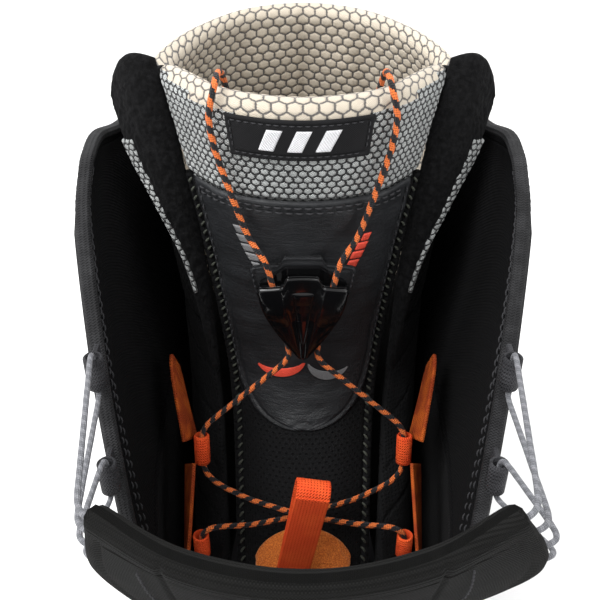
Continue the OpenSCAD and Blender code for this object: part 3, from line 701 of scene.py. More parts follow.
looks = {
    "rubber_black": moulded("rubber_black", (0.011, 0.011, 0.012), 0.6, 0.1),
    "midsole_foam": moulded("midsole_foam", (0.022, 0.022, 0.024), 0.75, 0.18),
    "board_fibre": cloth("board_fibre", (0.42, 0.38, 0.30), 0.9),
    "shell_fabric": cloth("shell_fabric", (0.0085, 0.0085, 0.009), 0.6),
    "cuff_lining": cloth("cuff_lining", (0.003, 0.003, 0.0035), 0.8, rough=1.0),
    "ripstop_black": cloth("ripstop_black", (0.0075, 0.0075, 0.0072), 0.42, rib=1.3, rough=0.9, light=2.2),
    "webbing_black": webbing("webbing_black", (0.03, 0.03, 0.032), (0.012, 0.012, 0.013)),
    "webbing_grey": webbing("webbing_grey", (0.055, 0.055, 0.06), (0.025, 0.025, 0.028)),
    "dock_plastic": moulded("dock_plastic", (0.012, 0.012, 0.013), 0.4, 0.03),
    "handle_orange": moulded("handle_orange", (0.80, 0.16, 0.03), 0.42, 0.04),
    "lace_grey": braid("lace_grey", (0.30, 0.305, 0.33), (0.20, 0.205, 0.225), SHELL_LACE_D, 3.0, 6, 0.3),
    "ferrule_metal": moulded("ferrule_metal", (0.5, 0.5, 0.52), 0.3, 0.02, metal=1.0),
    "footbed_foam": moulded("footbed_foam", (0.10, 0.10, 0.11), 0.85, 0.2),
    "liner_fabric": knit("liner_fabric", (0.008, 0.008, 0.0085), (0.035, 0.036, 0.038)),
    "collar_mesh": hex_mesh("collar_mesh", (0.68, 0.61, 0.50), (0.52, 0.45, 0.36), (0.10, 0.093, 0.088),
                            PALE_PITCH),
    "plush_black": plush("plush_black", (0.009, 0.009, 0.0095)),
    "strap_amber": webbing("strap_amber", (0.62, 0.13, 0.014), (0.30, 0.04, 0.008)),
    "webbing_orange": webbing("webbing_orange", (1.0, 0.13, 0.026), (0.90, 0.085, 0.018), 1.1),
    "tongue_mesh": hex_mesh("tongue_mesh", (0.74, 0.76, 0.75), (0.06, 0.07, 0.07), (0.004, 0.004, 0.005),
                            SILVER_PITCH, gap=0.74, ragged=0.8),
    "leatherette": leather("leatherette", (0.020, 0.021, 0.023)),
    "label_weave": cloth("label_weave", (0.016, 0.016, 0.017), 0.35, rough=0.75),
    "lock_gloss": moulded("lock_gloss", (0.004, 0.004, 0.0045), 0.14, 0.0, coat=0.25, wear=0.03),
    "spring_steel": moulded("spring_steel", (0.55, 0.55, 0.57), 0.25, 0.0, metal=1.0),
    "lace_orange": braid("lace_orange", (0.90, 0.20, 0.04), (0.010, 0.010, 0.013), LACE_D, 5.6, 5, 0.05),
    "fleece_orange": fleece("fleece_orange", (0.88, 0.26, 0.04), (0.60, 0.12, 0.015)),
    "thread_dark": cloth("thread_dark", (0.045, 0.045, 0.048), 0.3),
    "thread_grey": cloth("thread_grey", (0.075, 0.08, 0.066), 0.3),
    "thread_white": cloth("thread_white", (0.80, 0.80, 0.82), 0.45),
    "print_red": leather("print_red", (0.80, 0.085, 0.05), 0.5),
    "print_grey": leather("print_grey", (0.21, 0.21, 0.215), 0.5),
}
for name, node in frame["nodes"].items():
    slot = next(p["material_slot"] for p in frame["record"]["subparts"] if p["node"] == name)
    node.data.materials.clear()
    node.data.materials.append(looks[slot])


def dress(piece, slot, body="shell", look=None, replaces=(), bend=None):
    """Gives a piece its material and its body; where bend is given, it bakes the piece's placement into its
    mesh and gives it no body.
    """
    if not piece.data.materials:
        piece.data.materials.append(looks[look or slot])
    if bend:
        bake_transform(piece)
    else:
        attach(piece, body)
    if replaces:
        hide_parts(*replaces)


def cover(name, face, us, vs, inner, outer, slot, body="shell", look=None, replaces=(), bend=None, fill=None,
          paints=(), **shape):
    """A dressed sheet; its paint picks from the materials in paints, and fill is not used."""
    piece = sheet(name, face, us, vs, inner, outer, **shape)
    for paint in paints:
        piece.data.materials.append(looks[paint])
    dress(piece, slot, body, look, replaces, bend)


def seam(name, face, us, vs, depth, size, slot, body="shell", look="thread_dark", bend=None, lean=0.0,
         inside=False):
    """A row of stitches on a face; size is a stitch's length, the gap after it and its thickness."""
    line, out = face_line(face, us, vs, depth)
    dress(stitches(name, line, -out if inside else out, *size, lean), slot, body, look, bend=bend)


def tape(name, line, width, thick, slot, side=(1.0, 0, 0), **dressing):
    """A dressed strip of webbing along a line."""
    piece = sweep(name, line, rounded(width, thick, 0.5), side=np.tile(side, (len(line), 1)))
    dress(piece, slot, **dressing)


TONGUE_BEND = ("shell", "liner_tongue", (0, -0.018, 0.138), (0, 0, 0.176))
ON_TONGUE = {"body": "liner_tongue"}
# Down the tongue: one row of its face, the seam below the silver mesh, and the dark mesh over the instep.
TONGUE_ROW, MESH_SEAM, INSTEP = 34, 38.5, 115
RIM_HALF = 48
PANEL_ROUND, PANEL_TIP = 2.9, 4.572

# ---------------------------------------------------------------- cords, on the CAD model's routes
LACE_INSIDE = [(27, -6.5, 293), (26.5, -1, 295.5), (26, 5, 295), (25.5, 10, 290), (23, 13, 276),
               (17, 14.5, 258), (12, 16, 243)]
LACE_ON_TONGUE = [(0.15, 0.51, 3.0), (0.5, 0.5, 3.6), (0.95, 0.42, 5.2), (1.4, 0.35, 5.6)]
LACE_BELOW = [(38.4, -17.6, 163), (39, -18, 161), (39, -22, 147), (38, -23.6, 144), (33, -27, 142),
              (20, -33, 140), (0, -38, 137), (-20, -43, 137), (-33, -46, 140), (-37.7, -46.8, 138.5),
              (-38, -47, 136), (-38, -47, 125), (-36, -50, 118), (-25, -57, 112), (-12, -61, 110)]
LACE_ACROSS = [(38.4, -17.6, 163), (39, -18, 161), (39, -22, 147), (38, -23.6, 144), (33, -28, 143),
               (20, -35, 142), (0, -41.8, 141), (-20, -45, 140), (-33, -46.5, 140.5), (-37.7, -46.8, 138.5),
               (-38, -47, 136), (-38, -47, 125), (-36, -50, 118), (-25, -57, 112), (-12, -61, 110)]
UPPER_LOOP = (63.5, -53.5, 221)
LOWER_LOOP = (59.5, -71.5, 194.5)
UPPER_TUNNEL = (39, -20, 154)
LOWER_TUNNEL = (38, -47, 131)
STRAP_UP = [(43.6, -18, 157), (46.5, -10, 167), (49.5, 0, 175), (51.5, 11, 180)]
STRAP_DOWN = [(43.6, -23, 149), (43.7, -34, 139), (44, -46, 127), (46, -52, 110), (47.5, -54, 88)]
LOCK_AT, LOCK_TILT, LOCK_LIFT = (0, -3.3, 211), math.radians(98.3), 2.2
LOCK_W, LOCK_H, LOCK_T = 32, 41.5, 10


def on_lock(p):
    """From the lock's own flat drawing, tip down, to its place on the tongue."""
    p = np.asarray(p, float)
    c, s = math.cos(LOCK_TILT), math.sin(LOCK_TILT)
    z = p[..., 2] + LOCK_LIFT
    return np.stack([p[..., 0], LOCK_AT[1] + p[..., 1] * c - z * s, LOCK_AT[2] + p[..., 1] * s + z * c],
                    axis=-1)


def inner_lace_route():
    """The liner lace's route, from its handle down one side and back up the other."""
    on_tongue = [tongue_face.off(u, v, lift) for u, v, lift in LACE_ON_TONGUE]
    top, tip = np.array((12, 24, 5)), np.array((4, -24, 5))
    in_lock = [on_lock(top * (1 - f) + tip * f) for f in (-0.04, 0, 0.5, 0.94)]
    half = LACE_INSIDE[::-1] + on_tongue + in_lock
    below = [np.asarray(p) for p in half + LACE_BELOW]
    across = [np.asarray(p) * MIRROR for p in (half + LACE_ACROSS)[::-1]]
    return np.array(below + across, float)


def shell_lace_route(u_out, u_in, loop):
    """A shell lace's route round the shell tongue and through the loops on both cuffs."""
    bent = (0, 0.2, 0.4, 0.6, 0.8, 0.9, 1, 1.07)
    halves = []
    for sign in (-1, 1):
        high = [front_face.off(u_out, sign * v, 2.0) for v in bent]
        through = [np.array((sign * loop[0], loop[1], loop[2] + z), float) for z in (9, 6, -6, -9)]
        halves.append(high + through + [front_face.off(u_in, sign * v, 2.0) for v in bent[::-1]])
    left, right = halves
    return np.array(left[-2:0:-1] + right[:-1])


def make_cord(name, route, d, knots, look):
    """A braided cord with raised strands along a route."""
    path, where = relaxed(route, 0.7)
    strands = lambda turn, along: 1 + 0.05 * np.cos(2 * math.pi * (knots * turn + along / 1.5)) \
        * np.cos(2 * math.pi * (knots * turn - along / 1.5))
    cord = sweep(name, path, circle(d, 16), bump=strands)
    cord.data.materials.append(looks[look])
    return cord, path, where[-1] * MM


lace, path, length = make_cord("inner_lace_braid", inner_lace_route(), LACE_D, 4, "lace_orange")
dress(lace, "lace_orange", replaces=["inner_lace"],
      bend=("shell", "liner_tongue", (0, 0, 0.166), (0, 0, 0.186)))
[tuple(p * MM) for p in path]
for level, u_out, u_in, loop in (("upper", 3.86, 3.6, UPPER_LOOP), ("lower", 3.3, 3.0, LOWER_LOOP)):
    lace, path, length = make_cord(f"shell_lace_{level}_braid", shell_lace_route(u_out, u_in, loop),
                                   SHELL_LACE_D, 6, "lace_grey")
    dress(lace, "lace_grey", replaces=[f"shell_lace_{level}"],
          bend=("shell", "shell_tongue", (0, -0.076, 0.2), (0, -0.098, 0.2)))
    [tuple(p * MM) for p in path]

# ---------------------------------------------------------------- padded swelling, before the scene is full
tongue_swell = swelled(tongue_face, steps(0, 7, 34), steps(-1, 1, 20), -8.5, -1, 1.6)
collar_swell = swelled(liner_face, steps(5.02, 9, 16), steps(-1, 1, 48), -7.5, -1, 1.5)
lapel_swell = swelled(lapel_face, steps(0, 5, 26), steps(-1, 1, 8), -3.5, 0, 2.2)
front_swell = swelled(front_face, steps(0, 4, 24), steps(-1, 1, 22), -2.2, 4.4, 1.4)


# ---------------------------------------------------------------- liner tongue
def honeycomb(pitch, height):
    """Relief of a honeycomb's raised cells."""
    return lambda s, t: height * (1 - np.clip(hexagons(s, t, pitch), 0, 1) ** 3)


def rim_border(v):
    """How far down from the rim the pale lining reaches on the tongue's outer side."""
    return 8.5 - 5.5 * v ** 2


def widened(u):
    """The padding bulges past the CAD model's edge, most of all at the rim."""
    return 1 + 0.06 * np.clip(1.3 - u / 2.5, 0, 1)


def tongue_pad():
    """One padded tongue: silver honeycomb outside, pale rolled rim and lining, dark mesh over the instep."""
    silver, pale = honeycomb(SILVER_PITCH, 0.45), honeycomb(PALE_PITCH, 0.6)
    dark = honeycomb(DARK_PITCH, 0.25)

    def front(s, t, edge):
        border = rim_border(s / RIM_HALF)
        cells = np.where(t < border, pale(s, t), silver(s, t))
        cells = np.where(t < MESH_SEAM - 1.5, cells, np.where(t < INSTEP, 0, dark(s, t)))
        return cells - 1.6 * groove(t - MESH_SEAM, 1.6) - 0.6 * groove(t - border, 0.6)

    def paint(u, v, s, t, low):
        if low:
            return np.where(u > 4.6, 2, np.where((np.abs(v) > 0.93) & (t > 10), 0, 1))
        return np.where(t < rim_border(v), 1, np.where(t < MESH_SEAM + 0.5, 0, 2))

    cover("tongue_pad", tongue_face, spread(0, 7, 340, 0.035), spread(-1, 1, 210, 0.05), -9.6, -0.3,
          "tongue_mesh", rim=5, relief=front, low_relief=lambda s, t, edge: np.where(-t < 120, pale(s, t), 0),
          warp=lambda u, v: (u, v * widened(u)), swell=lambda u, v: (0, tongue_swell(u, v)[1]), paint=paint,
          paints=("tongue_mesh", "collar_mesh", "liner_fabric"), replaces=["tongue_upper", "tongue_base"],
          bend=TONGUE_BEND, fill=0.7)


def panel_edge(u):
    """Half width of the tongue's smooth panel, which ends in a round tongue of its own over the instep."""
    return 0.90 * np.sqrt(np.clip(1 - (np.clip(u - PANEL_ROUND, 0, None) / 1.68) ** 2.4, 0, 1))


def tongue_panel():
    """Smooth panel down the middle of the tongue, sewn twice along its top and once along its sides."""
    round_end = PANEL_ROUND + (PANEL_TIP - PANEL_ROUND) * np.sin(steps(0, math.pi / 2, 30))[1:]
    us = np.concatenate([steps(1.0, PANEL_ROUND, 40), round_end])

    def creases(s, t, edge):
        soft = 0.35 * lumps(s, t * 2.2, 9, 3) + 0.12 * lumps(s, t, 2.2, 4)
        return soft - 0.5 * groove(edge - 3.0, 0.8)

    cover("tongue_panel_leather", tongue_face, us, steps(-1, 1, 90), -0.5, 1.1, "leatherette", rim=1.2,
          relief=creases, warp=lambda u, v: (u, v * panel_edge(u)), replaces=["tongue_panel"],
          bend=TONGUE_BEND)
    for inset in (2.2, 4.2):
        row = 1.0 + inset / TONGUE_ROW
        seam(f"panel_stitches_top_{int(inset)}", tongue_face, row, steps(-0.82, 0.82, 60), 1.3,
             (2.4, 1.0, 0.7), "leatherette", **ON_TONGUE)
    for side, sign in SIDES:
        u = steps(1.08, 4.2, 80)
        seam(f"panel_stitches_{side}", tongue_face, u, sign * (panel_edge(u) - 0.055), 1.0, (2.4, 1.1, 0.65),
             "leatherette", bend=TONGUE_BEND)


def tongue_edges():
    """Overlocked edges: a soft roll down each side with slanted grey stitches over it."""
    for side, sign in SIDES:
        u = steps(1.05, 6.9, 160)
        line, out = face_line(tongue_face, u, sign * 0.985 * widened(u), -1.6)
        edge = sweep(f"tongue_binding_{side}", line, circle(4.4, 12), side=out,
                     bump=lambda turn, along: 1 + 0.05 * np.cos(2 * math.pi * along / 2.3) + 0 * turn)
        dress(edge, "liner_fabric", bend=TONGUE_BEND)
        seam(f"tongue_overlock_{side}", tongue_face, u, sign * 0.93 * widened(u), 0.2, (2.0, 1.4, 1.0),
             "liner_fabric", look="thread_grey", bend=TONGUE_BEND, lean=1.1 * sign)


def label():
    """Woven patch with a plain mark of three slanted bars, sewn round its border."""
    def square(s, t, edge):
        return 0.1 * np.sin(s / 0.35 * math.pi) * np.sin(t / 0.35 * math.pi) - 0.35 * groove(edge - 1.8, 0.5)

    cover("label", tongue_face, spread(0.12, 0.54, 56), spread(-0.43, 0.39, 120), 0.0, 1.1, "label_weave",
          rim=1.0, relief=square, replaces=["label_patch"], **ON_TONGUE)
    down, right = steps(0.17, 0.49, 12), steps(-0.40, 0.36, 30)
    for name, us, vs in (("left", down, -0.40), ("right", down, 0.36), ("top", 0.17, right),
                         ("low", 0.49, right)):
        seam(f"label_stitches_{name}", tongue_face, us, vs, 1.1, (1.5, 0.9, 0.5), "label_weave", **ON_TONGUE)
    for k, v in enumerate((-0.18, -0.02, 0.14)):
        cover(f"label_bar_{k + 1}", tongue_face, steps(0.22, 0.44, 24), steps(v - 0.043, v + 0.043, 10), 0.9,
              1.5, "label_weave", rim=0.5, warp=lambda u, w: (u, w + (0.33 - u) * 0.26), look="thread_white",
              **ON_TONGUE)


def prints():
    """Flat printed accents on the panel: a barred dash each side and two separate arcs under the lock."""
    for name, look, sign, first, last in (("grey_dash", "print_grey", -1, 1.36, 1.92),
                                          ("red_dash", "print_red", 1, 1.46, 2.0)):
        long = last - first
        for k in range(5):
            a, b = (first + long * (k + f) / 5 for f in (0.04, 0.93))
            half = 0.026 + 0.026 * math.sin(math.pi * (k + 0.7) / 5.4)
            cover(f"{name}_{k + 1}", tongue_face, steps(a, b, 6), steps(-half, half, 6), 1.0, 1.5,
                  "leatherette", rim=0.4, look=look,
                  warp=lambda u, v: (u, v + sign * (0.48 - 0.14 * (u - first) / long)), **ON_TONGUE)
    width = np.sin(np.linspace(0.12, math.pi - 0.12, 40))[:, None]
    for name, look, v, u, wide, first, last in (("red_arc", "print_red", -0.27, 2.93, 0.31, 212, 342),
                                                ("grey_arc", "print_grey", 0.31, 3.0, 0.26, 195, 325)):
        angle = np.radians(np.linspace(first, last, 40))
        line, out = face_line(tongue_face, u - 0.36 * np.sin(angle), v + wide * np.cos(angle), 1.25)
        arc = sweep(name, line, rounded(3.8, 0.5, 0.2), side=np.cross(np.gradient(line, axis=0), out),
                    bump=lambda turn, along: width + 0 * turn)
        dress(arc, "leatherette", look=look, bend=TONGUE_BEND)


# ---------------------------------------------------------------- lace lock
def lock_outline(a, b, grow=0.0):
    """A place on the lock: a runs from -1 to 1 across it and b from 0 at its top edge to 1 at its tip."""
    half = (LOCK_W / 2 + grow) * (1 - 0.88 * b ** 1.9) * np.minimum(1, 0.90 + 0.45 * np.sqrt(b))
    step = np.clip((np.abs(a) - 0.34) / 0.14, 0, 1)
    top = LOCK_H / 2 + grow - 3.4 * step * step * (3 - 2 * step) - 2.6 * np.clip(np.abs(a) - 0.4, 0, 1) ** 1.3
    low = -LOCK_H / 2 - grow + 1.5 * np.abs(a) ** 2
    return a * half, top + (low - top) * b


def rounding(distance, radius):
    """From 0 at an edge to 1 past its rounding."""
    return np.sqrt(np.clip(1 - (1 - np.clip(distance / radius, 0, 1)) ** 2, 0, 1))


def lock_wing(b):
    """Height of the wings from the lock's top edge to its tip."""
    return LOCK_T - 1.1 + 0.8 * np.sin(math.pi * np.clip(b / 0.5, 0, 1)) - 1.6 * b ** 1.5


def lock_channel(b):
    """Depth of the channel between the wings."""
    return (1.2 + 1.4 * np.clip(b / 0.3, 0, 1)) * np.clip((1.0 - b) / 0.6, 0, 1)


def lock_piece(name, x, y, top, back):
    """A closed piece of the lock between two sets of heights over one grid."""
    n, m = x.shape
    sides = [on_lock(np.stack([x, y, z + 0 * x], -1)).reshape(-1, 3) for z in (top, back)]
    quads = grid_faces(n, m)
    rim = np.concatenate([np.arange(m), np.arange(1, n) * m + m - 1, (n - 1) * m + np.arange(m - 2, -1, -1),
                          np.arange(n - 2, 0, -1) * m])
    other = np.roll(rim, -1)
    wall = np.stack([rim, other, other + n * m, rim + n * m], 1)
    faces = np.concatenate([quads[:, ::-1], quads + n * m, wall])[:, ::-1]
    uv = np.stack([x, y], -1).reshape(-1, 2)
    return make_mesh(name, np.concatenate(sides), faces.tolist(), np.concatenate([uv, uv]))


def lock_body():
    """Glossy body: two wings with a scooped channel between them, and a lip the laces pass under."""
    a, b = np.meshgrid(steps(-1, 1, 140), spread(0, 1, 150, 0.05), indexing="ij")
    x, y = lock_outline(a, b)
    edge = np.minimum((1 - np.abs(a)) * (LOCK_W / 2) * (1 - 0.8 * b), np.minimum(b, 1 - b) * LOCK_H)
    scoop = np.clip(1 - (x / (7.4 * (1 - b) ** 0.8 + 0.4)) ** 2, 0, 1) ** 0.7
    top = lock_wing(b) - 0.8 * a ** 4 - lock_channel(b) * scoop
    lip = np.clip(1 - (b - 0.06) / 0.04, 0, 1)
    back = 1.7 + (top - 3.2) * lip
    thick = top - back
    top = back + 0.4 * thick + 0.6 * thick * rounding(edge, 1.0)
    dress(lock_piece("lock_body", x, y, top, back), "lock_gloss", "lace_lock", replaces=["lock_housing"])


def lock_wedge():
    """The sliding wedge that lies in the channel."""
    a, b = np.meshgrid(steps(-1, 1, 40), steps(0, 1, 90), indexing="ij")
    x, y = a * (4.6 * (1 - b) ** 0.6 + 0.3), 14.5 - 27 * b
    down = (LOCK_H / 2 - y) / LOCK_H
    edge = np.minimum((1 - np.abs(a)) * 4, np.minimum(b, 1 - b) * 27)
    height = lock_wing(down) - lock_channel(down) - 0.5 + (1.5 - 0.5 * a ** 2) * rounding(edge, 1.6)
    over_spring = np.where(y < -2.4, 5.7, 3.2)
    dress(lock_piece("lock_wedge_grip", x, y, height, over_spring), "lock_gloss", "lock_wedge",
          replaces=["lock_wedge"])


def lock_spring():
    """Small coil behind the wedge."""
    t = steps(0, 1, 160)
    turn = 10 * math.pi * t
    coil = np.stack([0.75 * np.cos(turn), -8.4 + 4.6 * t, 4.7 + 0.75 * np.sin(turn)], -1)
    dress(sweep("lock_spring_coil", on_lock(coil), circle(0.35, 8)), "spring_steel", "lace_lock",
          replaces=["lock_spring"])


def lock_patch():
    """Stitched leather patch that the lock parks on."""
    a, b = np.meshgrid(steps(-1, 1, 70), steps(0, 1, 70), indexing="ij")
    x, y = lock_outline(a, b, 2.8)
    edge = np.minimum((1 - np.abs(a)) * 15 * (1 - 0.7 * b), np.minimum(b, 1 - b) * LOCK_H)
    height = -1.6 + 1.3 * rounding(edge, 1.0) - 0.4 * groove(edge - 1.6, 0.5)
    dress(lock_piece("lock_patch", x, y, height, -1.7), "leatherette", "liner_tongue", replaces=["lock_dock"])
    out = on_lock((0, 0, 1)) - on_lock((0, 0, 0))
    for side, sign in SIDES:
        b = steps(0.06, 0.93, 30)
        x, y = lock_outline(sign * 0.94 + 0 * b, b, 2.8)
        line = on_lock(np.stack([x, y, 0 * x - 0.55], -1))
        row = stitches(f"lock_patch_stitches_{side}", line, out, 1.8, 0.9, 0.6)
        dress(row, "leatherette", look="thread_dark", **ON_TONGUE)


# ---------------------------------------------------------------- liner
def liner_shell():
    """Foot and ankle of the liner: quilted fabric with sewn lines."""
    def quilt(s, t, edge):
        lines = groove((t - 0.35 * np.abs(s)) % 26 - 13, 1.0)
        return -0.9 * lines + 0.12 * lumps(s, t, 3, 5)

    def channels(gap):
        return lambda s, t, edge: -0.5 * groove(s % gap - gap / 2, 1.0)

    cover("liner_foot", liner_face, spread(0, 4.98, 200), spread(-1, 1, 300), -4.8, -0.2, "liner_fabric",
          rim=2.5, relief=quilt, low_relief=channels(30), replaces=["liner_boot"], fill=0.6)
    cover("liner_toe_box", vamp_face, spread(0.45, 3.9, 60), spread(-0.88, 0.88, 90), -10.6, -6.0,
          "liner_fabric", rim=2.3, relief=channels(24), replaces=["liner_toe"], fill=0.6)


def collar():
    """Padded collar: pale honeycomb lining over a rolled rim, grey honeycomb outside."""
    pale = honeycomb(PALE_PITCH, 0.5)

    def lining(s, t, edge):
        folds = 0.9 * lumps(s, t * 0.6, 26, 11)
        heel = -1.0 * groove(s, 2.0)
        return pale(s, t) + folds + heel

    def paint(u, v, s, t, low):
        return np.where(np.abs(v) > 0.955, 2, 0 * u if low else np.where(u > 8.62, 0, 1))

    def swell(u, v):
        outside, inside = collar_swell(u, v)
        return 0.3 * outside, inside

    cover("liner_collar_pad", liner_face, spread(5.02, 9, 230, 0.05), spread(-1, 1, 480, 0.02), -8.6, -0.4,
          "collar_mesh", rim=4.5, relief=lambda s, t, edge: pale(s, t), low_relief=lining, swell=swell,
          paint=paint, paints=("collar_mesh", "liner_fabric", "plush_black"), hem=-1,
          replaces=["liner_collar"], fill=0.7)


def liner_pull_loop():
    """Webbing loop standing at the back of the collar."""
    top = liner_face.off(8.7, 0, 0.4)
    lean = math.radians(11)
    up = np.array((0, -math.sin(lean), math.cos(lean)))
    foot = np.array((0, top[1] + 2.4, top[2] - 9))
    line = smooth([foot - up * 14, foot - up * 2, foot + up * 10], 16)
    tape("liner_pull_loop", line, 16, 1.5, "webbing_black", replaces=["liner_loop"])


def lapels():
    """Plush lapels that overlap the tongue, with a narrow silver mesh strip along their outer edges."""
    def pile(s, t, edge):
        return 0.35 * lumps(s, t, 1.7, 21) + 0.18 * lumps(s, t, 0.8, 22)

    def round_top(u, v):
        top = np.clip(1 - u / 1.6, 0, 1)
        outer, inner = np.clip(v, 0, 1), np.clip(-v, 0, 1)
        return u + (0.34 * outer ** 3 + 0.1 * inner ** 3 - 0.24) * top, v - 0.12 * inner * top

    silver = honeycomb(SILVER_PITCH, 0.3)
    left_face = Face([[(-x, y, z) for x, y, z in row] for row in LAPEL], 1, False)
    for side, face in (("left", left_face), ("right", lapel_face)):
        cover(f"lapel_{side}_plush", face, spread(0, 5, 190), spread(-1, 1, 40, 0.1), -3.6, 1.4,
              "plush_black", rim=4.6, relief=pile, low_relief=pile, swell=lapel_swell, warp=round_top,
              replaces=[f"lapel_{side}"], fill=0.8)
        cover(f"lapel_{side}_trim", face, spread(0.9, 3.6, 90), spread(0.48, 0.99, 14, 0.1), -2.4, 1.8,
              "tongue_mesh", rim=1.3, relief=lambda s, t, edge: silver(s, t),
              swell=lambda u, v: (lapel_swell(u, v)[0], 0))


def tube_wall(half, radius, lip, bulge):
    """Closed section of a sewn tube that reaches half its length each way, with rolled ends."""
    return [(2.1, 0), (2.15, half), (lip, half + bulge), (radius - 0.05, half - 0.4), (radius, 0),
            (radius - 0.05, 0.4 - half), (lip, -half - bulge), (2.15, -half)]


def straps():
    """Amber webbing that holds the lace sleeves."""
    routes = (("upper", STRAP_UP[:3] + [(50.5, 5, 177.5)], (0.3, -0.7, 0.6), (0.04, -0.7, 0.6)),
              ("lower", STRAP_DOWN, (0.4, 0.75, -0.6), (0, 0.75, -0.28)))
    for side, sign in SIDES:
        flip = np.array([sign, 1, 1])
        for level, route, start, end in routes:
            line = smooth(np.array(route, float) * flip, 12)
            strap = sweep(f"strap_{side}_{level}", line, rounded(12, 1.4, 0.4),
                          side=np.linspace(start, end, len(line)) * flip)
            dress(strap, "strap_amber", replaces=[f"strap_{side}"] if level == "upper" else ())
        for level, at, height, lean in (("upper", UPPER_TUNNEL, 12, 16), ("lower", LOWER_TUNNEL, 11, 0)):
            axis = (0, math.sin(math.radians(lean)), math.cos(math.radians(lean)))
            wall = tube_wall(height / 2, 3.05, 2.5, 0.15)
            sleeve = lathe(f"sleeve_{side}_{level}", wall, np.array(at) * flip, axis, 36)
            dress(sleeve, "webbing_orange", replaces=[f"tunnel_{side}_{level}"])


def pull_tab():
    """Orange pull tab: a folded loop of webbing with a fleece patch at its foot."""
    lean, tilt = math.radians(-4), math.radians(10)
    top, r, foot = 41.5, 3.8, 1.0
    arc = [(-r * math.cos(a), top + r * math.sin(a)) for a in np.linspace(0, math.pi, 22)]
    flat = [(-foot, 0.4), (-1.3, 8)] + [(-r + 0.9, 30)] + arc + [(r - 0.9, 30)] + [(1.3, 8), (foot, 0.4)]
    line = smooth([(0, y, z) for y, z in flat], 4)

    def placed(p):
        x, y, z = p[:, 0], p[:, 1], p[:, 2]
        y, z = y * math.cos(lean) - z * math.sin(lean), y * math.sin(lean) + z * math.cos(lean)
        x, z = x * math.cos(tilt) + z * math.sin(tilt), -x * math.sin(tilt) + z * math.cos(tilt)
        return np.stack([x - 4, y - 53, z + 122.5], axis=1)

    path = placed(line)
    across = placed(line + (1, 0, 0)) - path
    tab = sweep("pull_tab_webbing", path, rounded(12, 1.35, 0.4), side=across)
    dress(tab, "webbing_orange", "pull_tab", replaces=["pull_tab"])
    round_up = lambda u, v: (6.05 + (u - 6.05) * np.sqrt(np.clip(1.04 - (v / 0.7) ** 2, 0.1, 1)), v)
    cover("tab_patch_fleece", tongue_face, spread(5.72, 6.38, 40, 0.08), spread(-0.68, 0.68, 80, 0.08), 0.2,
          2.3, "fleece_orange", rim=2, relief=lambda s, t, edge: 0.35 * lumps(s, t, 1.4, 31), warp=round_up,
          replaces=["tab_patch"])


def inner_handle():
    """Round grip on the end of the liner lace, inside the leg."""
    h = 22
    wall = [(0.01, -h), (3.4, -h), (4.2, -h + 0.6), (4.45, -h + 2)]
    wall += [(4.45 - 0.35 * (k % 2), -h + 5 + 34 * k / 24) for k in range(25)]
    wall += [(4.45, h - 2), (4.2, h - 0.6), (3.4, h), (0.01, h)]
    grip = lathe("inner_handle_grip", wall[::-1], (0, 18, 232), (1, 0, 0), 32)
    dress(grip, "dock_plastic", "liner_tongue")


# ---------------------------------------------------------------- outer boot
def bound_edge(name, face, us, vs, depth):
    """Folded tape round the edge of a sheet."""
    line, out = face_line(face, us, vs, depth)
    line = evenly(line, 1.0)[0]
    way = np.linspace(0, 1, len(line))
    out = np.stack([np.interp(way, np.linspace(0, 1, len(out)), out[:, c]) for c in range(3)], axis=1)
    binding = sweep(name, line, rounded(4.8, 3.6, 1.4), side=out,
                    bump=lambda turn, along: 1 + 0.025 * np.cos(2 * math.pi * along / 2.6) + 0 * turn)
    dress(binding, "webbing_black")


def upper():
    """Lower shell and vamp."""
    def weave(s, t, edge):
        return 0.05 * lumps(s, t, 2, 41) - 0.5 * groove(edge - 4, 0.7)

    def flex_lines(s, t, edge):
        crease = -0.6 * groove(t - 34 - 0.012 * s * s, 0.8)
        return 0.4 * lumps(s * 0.4, t, 7, 43) + crease - 0.5 * groove(edge - 4, 0.7)

    cover("shell_lower_fabric", shell_face, spread(0, 4.0, 150), spread(-1, 1, 320), -3.3, 0, "shell_fabric",
          rim=1.6, relief=weave, replaces=["shell_lower"])
    cover("vamp_fabric", vamp_face, spread(0, 5, 150), spread(-1, 1, 220), -3.3, 0, "shell_fabric", rim=1.6,
          relief=flex_lines, replaces=["vamp"])


def rubber(name, face, us, vs, inner, outer, rim, relief, warp=None):
    """A moulded rubber piece on the outer boot."""
    cover(f"{name}_rubber", face, us, vs, inner, outer, "rubber_black", rim=rim, relief=relief, warp=warp,
          replaces=[name])


